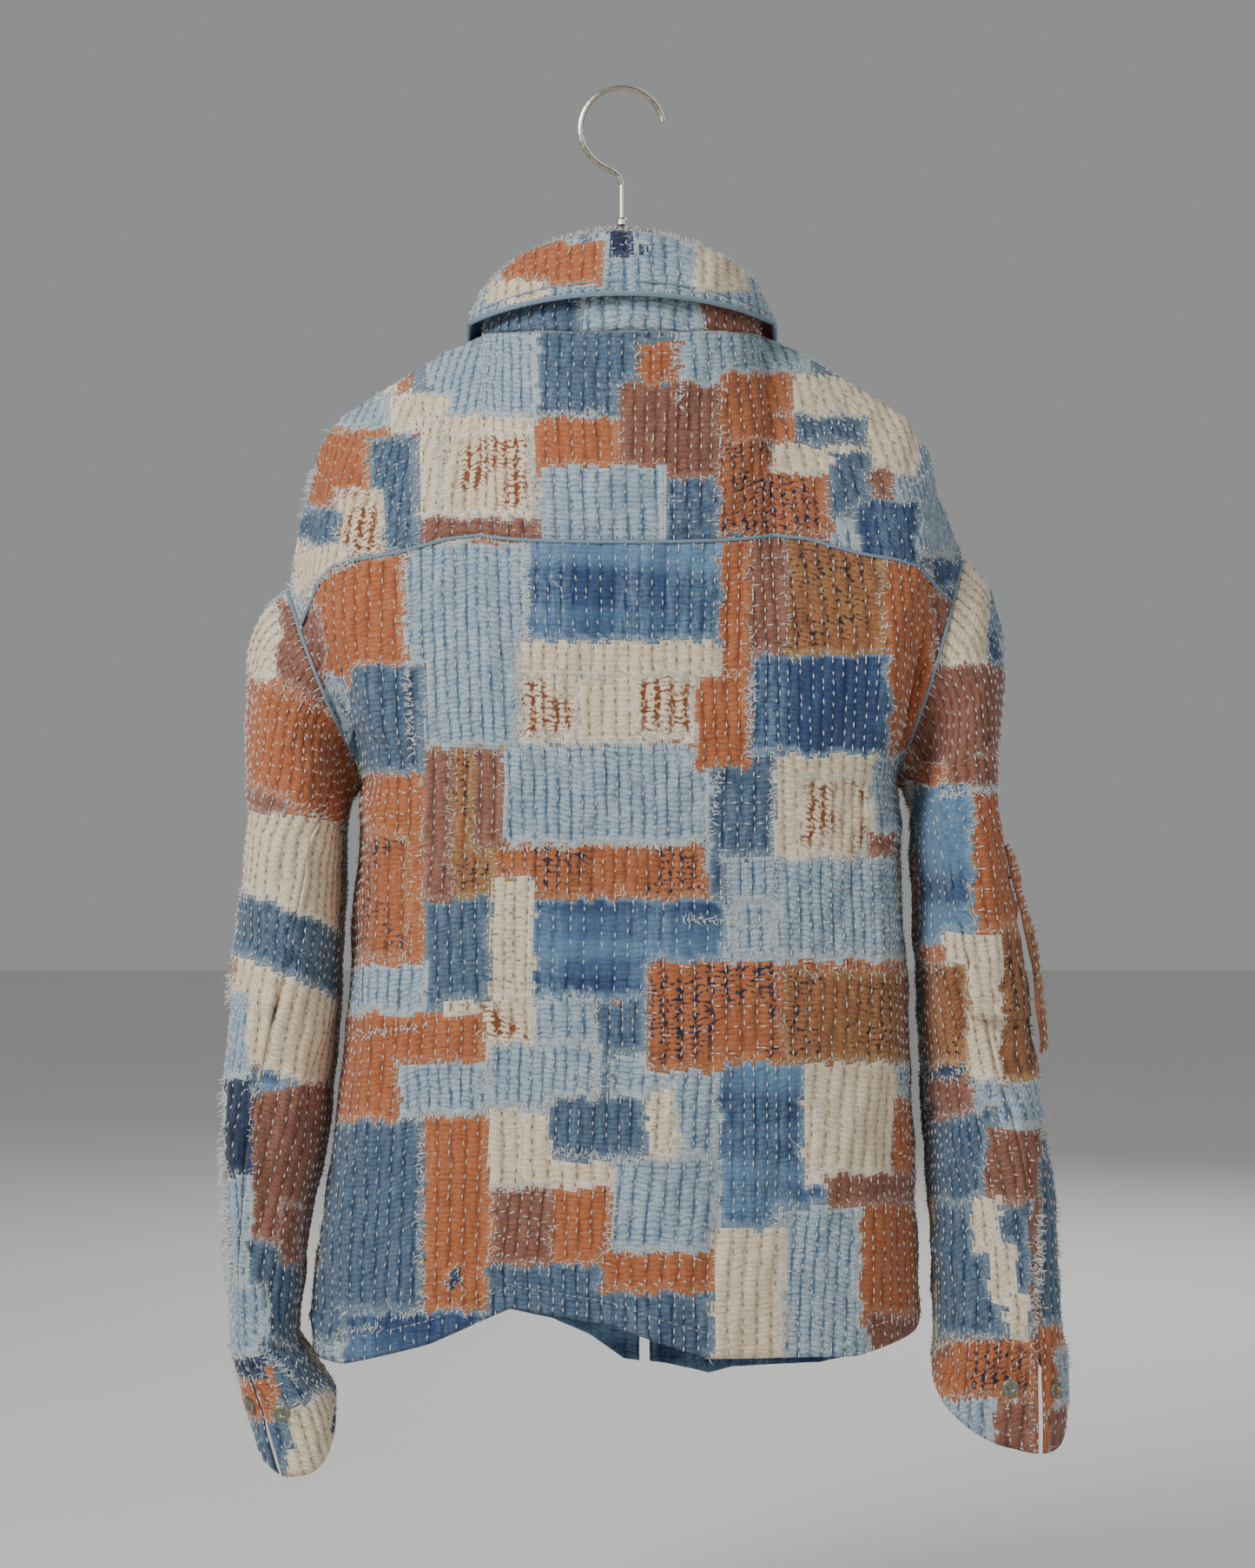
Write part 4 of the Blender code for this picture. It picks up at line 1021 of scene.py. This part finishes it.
def fray(grid, normal, patch, draw):
    """Loose ends of thread along the patches' raw edges."""
    for axis in (0, 1):
        for i, j in zip(*np.nonzero(np.diff(patch, axis=axis))):
            for _ in range(2):
                if draw.random() < 0.35:
                    continue
                other = (i + 1, j) if axis == 0 else (i, j + 1)
                way = grid[other] - grid[i, j]
                if draw.random() < 0.5:
                    way = -way
                turn = (draw.random() - 0.5) * 1.6
                side = unit(np.cross(normal[i, j], way))
                reach = FRAY_REACH[0] + FRAY_REACH[1] * draw.random() ** 2
                root = (grid[i, j] + grid[other]) / 2 + side * (draw.random() - 0.5) * 0.003
                root = root + normal[i, j] * 0.0003
                tip = root + (unit(way) + side * turn) * reach + normal[i, j] * 0.0008
                HAIR.hair(root, tip, normal[i, j], FRAY_WIDTH)


def fringe(grid, normal, seed):
    """White ends that stand along the frayed edges, most of them square to the edge."""
    draw = np.random.default_rng(seed + 500)
    u, v = in_photo(grid)
    for line in FRAYED:
        share, off, run = from_line(u, v, *line)
        near = (np.abs(off) < FRINGE_HALF) & (share > 0) & (share < 1)
        for i, j in zip(*np.nonzero(near & (normal[..., 1] < FACING_FRINGE))):
            for _ in range(4):
                aside = np.array((-run[1], 0.0, -run[0])) * draw.choice((-1.0, 1.0))
                lean = np.array((run[0], 0.0, -run[1])) * draw.normal(0.0, 0.7)
                reach = FRINGE_REACH[0] + FRINGE_REACH[1] * draw.random() ** 1.5
                root = grid[i, j] + lean * 0.001 + normal[i, j] * 0.0006
                HAIR.hair(root, root + (aside + lean) * reach + normal[i, j] * 0.0006,
                          normal[i, j], FRINGE_WIDTH)


def sleeve_fluff():
    """Loose ends that stand off the sleeves' outer edges."""
    draw = random.Random(9)
    for side, high, low in ((-1, 1.20, 1.86), (1, 0.95, 1.90)):
        for _ in range(420):
            v = draw.uniform(high, low)
            if math.sin(v * 31.0) + 0.6 * math.sin(v * 77.0 + side) < 0.1:
                continue
            angle = draw.uniform(-0.5, 0.6)
            root = np.array(tuple(sleeve_point(side, angle, v)))
            out = np.array((side * 1.0, -0.5 * math.sin(angle), draw.uniform(-0.9, 0.5)))
            HAIR.hair(root + out * 0.001, root + out * draw.uniform(*FLUFF_REACH),
                      BACKWARD, FLUFF_WIDTH)


def ordered(line, right):
    return list(reversed(line)) if right else list(line)


def yoke_and_back(looks):
    across = spread(-1.0, 1.0, BODY_COLUMNS)
    gap = YOKE_GAP * 0.4
    yoke = [[(-1, s, (yoke_seam(s) - gap) * share) for s in across]
            for share in spread(0, 1, YOKE_ROWS)]
    cloth_panel("yoke_cloth", body_point, yoke, "back_yoke", looks, YOKE_PATCHES, 11)
    body = [[(-1, s, yoke_seam(s) + gap + (2.0 - yoke_seam(s) - gap) * share) for s in across]
            for share in spread(0, 1, BACK_ROWS)]
    cloth_panel("back_cloth", body_point, body, "back_body", looks, BODY_PATCHES, 12)


def front_point(sign, s, t):
    point = body_point(1, s, t)
    middle = body_point(1, 0.0, t).x
    if sign * (point.x - middle) < FRONT_GAP / 2:
        point.x = middle + sign * FRONT_GAP / 2
    return point


def fronts(looks):
    for word, sign in (("left", -1), ("right", 1)):
        across = ordered([sign * s for s in spread(0.004, 1.0, FRONT_COLUMNS)], sign > 0)
        places = [[(sign, s, t) for s in across] for t in spread(0.0, 2.0, FRONT_ROWS)]
        cloth_panel("front_cloth_" + word, front_point, places, "front_" + word, looks,
                    (), 20 + sign, hem="PI")


def sleeves(looks):
    for side, word, patches in ((-1, "left", LEFT_SLEEVE_PATCHES),
                                (1, "right", RIGHT_SLEEVE_PATCHES)):
        top, under = [], []
        for v in spread(0.0, 1.0, SLEEVE_ROWS[0]) + spread(1.0, 2.0, SLEEVE_ROWS[1])[1:]:
            back, front = seam_angle(BACK_SEAM, v), seam_angle(FRONT_SEAM, v)
            half, gap = slit_half(v), SEAM_GAP / 2 / 0.05
            high = spread(front - 2 * math.pi + gap, back - half, TOP_COLUMNS)
            low = spread(back + half, front - gap, UNDER_COLUMNS)
            top.append(ordered([(side, a, v) for a in high], side > 0))
            under.append(ordered([(side, a, v) for a in low], side > 0))
        cloth_panel("sleeve_cloth_top_" + word, sleeve_point, top, "sleeve_top_" + word,
                    looks, patches, 30 + side)
        cloth_panel("sleeve_cloth_under_" + word, sleeve_point, under,
                    "sleeve_under_" + word, looks, patches, 40 + side)


def collar(looks):
    around = spread(-COLLAR_SPAN, COLLAR_SPAN, COLLAR_COLUMNS)
    stand = [[(a, share) for a in around] for share in spread(1.0, 0.0, 20)]
    cloth_panel("collar_stand_cloth", stand_point, stand, "collar_stand", looks,
                STAND_PATCHES, 51)
    shares = spread(0.0, 0.12, 5)[:-1] + spread(0.12, 1.0, 17)
    leaf = [[(a, share) for a in around] for share in shares]
    cloth_panel("collar_leaf_cloth", leaf_point, leaf, "collar_leaf", looks,
                COLLAR_PATCHES, 52)


def rag_point(height, top, a, v):
    """Cloth that lies over the right sleeve and peels off it below a place v of top."""
    surface = sleeve_point(1, a, v)
    step = 0.01
    normal = (sleeve_point(1, a - step, v) - sleeve_point(1, a + step, v)).cross(
        sleeve_point(1, a, v - step) - sleeve_point(1, a, v + step)).normalized()
    return surface + normal * (QUILT_RISE + 2 * SEAM_GAP + WALL + height * smooth((v - top) / 0.4))


def rags(looks):
    """The torn brown flap and the twisted denim rag on the right sleeve."""
    flap, rag = [], []
    for v in spread(0.60, 1.30, 62):
        torn = 0.05 * math.sin(v * 41.0) + 0.03 * math.sin(v * 97.0)
        wide = spread(1.85 - 0.5 * (v - 1.0) + torn, 0.72 - 0.45 * (v - 1.0) - torn, 22)
        flap.append([(FLAP_PEEL, 0.60, a, v) for a in wide])
    for v in spread(1.02, 1.36, 40):
        torn = 0.04 * math.sin(v * 60.0)
        wide = spread(0.75 + 0.10 * math.sin(9 * v) + torn, 0.16 + 0.10 * math.sin(9 * v), 18)
        rag.append([(RAG_PEEL, 0.90, a, v) for a in wide])
    cloth_panel("flap_cloth", rag_point, flap, "torn_flap", looks,
                RIGHT_SLEEVE_PATCHES + FLAP_PATCHES, 61)
    cloth_panel("rag_cloth", rag_point, rag, "torn_rag", looks,
                RIGHT_SLEEVE_PATCHES + RAG_PATCHES, 62, lift=RAG_LIFT)


def topstitch(point_at, places, kit):
    """A row of small machine stitches through a list of places."""
    line = [np.array(tuple(point_at(*place))) for place in places]
    for start, end in zip(line, line[1:]):
        run = end - start
        count = max(int(np.linalg.norm(run) / TOPSTITCH_PITCH), 1)
        normal = BACKWARD if start[1] < 0 else -BACKWARD
        for k in range(count):
            first = start + run * (k / count) + normal * 0.0012
            kit.stitch(first, first + run / count * TOPSTITCH_SHARE, normal, 0.0006, 0.0005)


def seams():
    """Topstitching beside the yoke seam, the hem and the collar's edge."""
    across = spread(-0.99, 0.99, 120)
    for lift in (0.012, 0.030):
        topstitch(body_point, [(-1, s, yoke_seam(s) - lift) for s in across], GREY)
    topstitch(body_point, [(-1, s, 1.957) for s in across], WHITE)
    for sign in (-1, 1):
        topstitch(front_point, [(sign, sign * s, 1.962) for s in spread(0.05, 0.99, 70)], WHITE)
    round_neck = spread(-COLLAR_SPAN, COLLAR_SPAN, 110)
    topstitch(leaf_point, [(a, 0.86) for a in round_neck], WHITE)
    topstitch(leaf_point, [(a, 0.93) for a in round_neck], GREY)


def cord(kit, line, radius, sides=6):
    """A round cord through points, added to a kit."""
    line = [np.array(tuple(point)) for point in line]
    base = len(kit.points)
    for k, point in enumerate(line):
        run = unit(line[min(k + 1, len(line) - 1)] - line[max(k - 1, 0)])
        side = unit(np.cross(run, (0.31, 0.87, 0.38)))
        up = np.cross(run, side)
        for turn in range(sides):
            angle = 2 * math.pi * turn / sides
            kit.points.append(point + (side * math.cos(angle) + up * math.sin(angle)) * radius)
    for k in range(len(line) - 1):
        for turn in range(sides):
            a = base + k * sides + turn
            b = base + k * sides + (turn + 1) % sides
            kit.faces.append((a, b, b + sides, a + sides))


def piping():
    """Pale cords in the yoke seam, along the collar and round the armholes."""
    out = Vector((0.0, -0.0010, 0.0))
    cord(PIPING, [body_point(-1, s, yoke_seam(s)) + out for s in spread(-0.995, 0.995, 150)],
         SEAM_CORD)
    around = spread(-COLLAR_SPAN, COLLAR_SPAN, 120)
    out = Vector((0.0, -0.0006, 0.0))
    cord(PIPING, [leaf_point(angle, 0.99) for angle in around], EDGE_CORD)
    cord(PIPING, [leaf_point(angle, 0.80) + out for angle in around], LEAF_CORD)
    for side in (-1, 1):
        for face in (-1, 1):
            out = Vector((side * 0.0006, face * 0.0006, 0.0))
            cord(PIPING, [body_point(face, side, t) + out for t in spread(0.02, 0.98, 70)],
                 SEAM_CORD)


def loose_threads():
    """Long curling ends here and there, and the ragged top of the collar."""
    draw = random.Random(5)
    for _ in range(LOOSE_COUNT):
        face = draw.choice((-1, -1, -1, 1))
        s, t = draw.uniform(-0.9, 0.9), draw.uniform(0.25, 1.97)
        start = body_point(face, s, t)
        line = []
        heading = draw.uniform(-0.6, 0.6)
        for k in range(9):
            sway = 0.0022 * math.sin(k * 1.1 + s * 9.0)
            line.append(start + Vector((k * 0.0016 * heading + sway,
                                        face * (0.0014 + 0.0006 * math.sin(k * 0.9)), -k * 0.0021)))
        cord(HAIR, line, LOOSE_RADIUS, 4)
    for _ in range(COLLAR_ENDS):
        angle = draw.uniform(-1.5, 1.5)
        root = np.array(tuple(leaf_point(angle, 0.02)))
        lean = np.array((draw.uniform(-0.5, 0.5), draw.uniform(-0.5, 0.1), 1.0))
        tip = root + lean * draw.uniform(0.001, 0.0052)
        HAIR.hair(root, tip, BACKWARD, 0.0006)


def zip_teeth(look):
    """Teeth of both tapes, side by side down the middle of the fronts."""
    points, faces = [], []
    box = ((0, 1, 3, 2), (4, 6, 7, 5), (0, 4, 5, 1), (2, 3, 7, 6), (0, 2, 6, 4), (1, 5, 7, 3))
    for k, t in enumerate(spread(*TOOTH_ENDS, TOOTH_COUNT)):
        if abs(t - SLIDER_T) < SLIDER_ROOM:
            continue
        x, y, z = body_point(1, 0.0, t)
        y += TOOTH_SEAT - WALL - TAPE_SEAT
        reach = TOOTH_REACH if k % 2 else -TOOTH_REACH
        base = len(points)
        points += [(x + a - reach * 0.25, y + b, z + c) for a in (0.0, reach)
                   for b in (0.0, TOOTH_DEPTH) for c in (-TOOTH_HALF, TOOTH_HALF)]
        faces += [tuple(base + corner for corner in face) for face in box]
    made = mesh_of("zip_teeth", points, faces, [look])
    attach(made, "root")


def repaint(looks):
    """Finishes of the solids that stay as they are."""
    for look, nodes in FINISHES.items():
        for node in nodes:
            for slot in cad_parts[node].material_slots:
                slot.material = looks[look]


def camera():
    data = bpy.data.cameras.new("camera")
    data.sensor_width = SENSOR
    data.lens = FOCAL_PIXELS / PHOTO_HEIGHT * SENSOR
    made = show("camera", data)
    made.location = CAMERA
    made.rotation_euler = (math.pi / 2, 0.0, 0.0)
    bpy.context.scene.camera = made


def light(name, place, target, size, power):
    data = bpy.data.lights.new(name, "AREA")
    data.shape = "DISK"
    data.size = size
    data.energy = power
    made = show(name, data)
    made.location = place
    made.rotation_euler = (Vector(target) - Vector(place)).to_track_quat("-Z", "Y").to_euler()


def studio():
    """A plain pale floor, a pale world and three soft lights."""
    corners = [(x * FLOOR_HALF, y * FLOOR_HALF, FLOOR_Z)
               for x, y in ((-1, -1), (1, -1), (1, 1), (-1, 1))]
    made, tree, shader = nodes_of("floor")
    tone = scaled_noise(tree, place_of(tree), 1.5)
    feed(tree, shader, Base_Color=mix(tree, tone, (0.74, 0.73, 0.71), (0.78, 0.77, 0.75)),
         Roughness=0.9)
    floor = mesh_of("floor", corners, [(0, 1, 2, 3)], [made])
    world = bpy.data.worlds.new("world")
    bpy.context.scene.world = world
    world.use_nodes = True
    sky = world.node_tree.nodes["Background"]
    sky.inputs["Color"].default_value = (0.80, 0.81, 0.82, 1.0)
    sky.inputs["Strength"].default_value = 0.36
    middle = (0.0, 0.0, -0.5)
    light("key", (-1.6, -1.5, 0.9), middle, 1.0, 60.0)
    light("fill", (1.8, -2.2, 0.2), middle, 1.8, 16.0)
    light("back", (0.8, 2.4, 0.8), middle, 1.6, 34.0)


def main():
    camera()
    studio()
    looks = {cloth: cloth_material(cloth) for cloth in CLOTHS}
    looks["steel"] = metal_material("steel", (196, 186, 168), 0.26)
    looks["brass"] = metal_material("brass", (176, 160, 124), 0.34)
    looks["snap"] = metal_material("snap", (150, 150, 134), 0.36)
    looks["tape"] = thread_material("tape", (54, 58, 70))
    repaint(looks)
    yoke_and_back(looks)
    fronts(looks)
    sleeves(looks)
    collar(looks)
    rags(looks)
    seams()
    piping()
    sleeve_fluff()
    loose_threads()
    zip_teeth(looks["brass"])
    WHITE.make("stitches_white", thread_material("thread_white", (232, 232, 226)))
    GREY.make("stitches_grey", thread_material("thread_grey", (112, 112, 116)))
    PIPING.make("piping", thread_material("cord", (128, 148, 164)))
    HAIR.make("loose_ends", thread_material("thread_loose", (214, 216, 210)))


main()
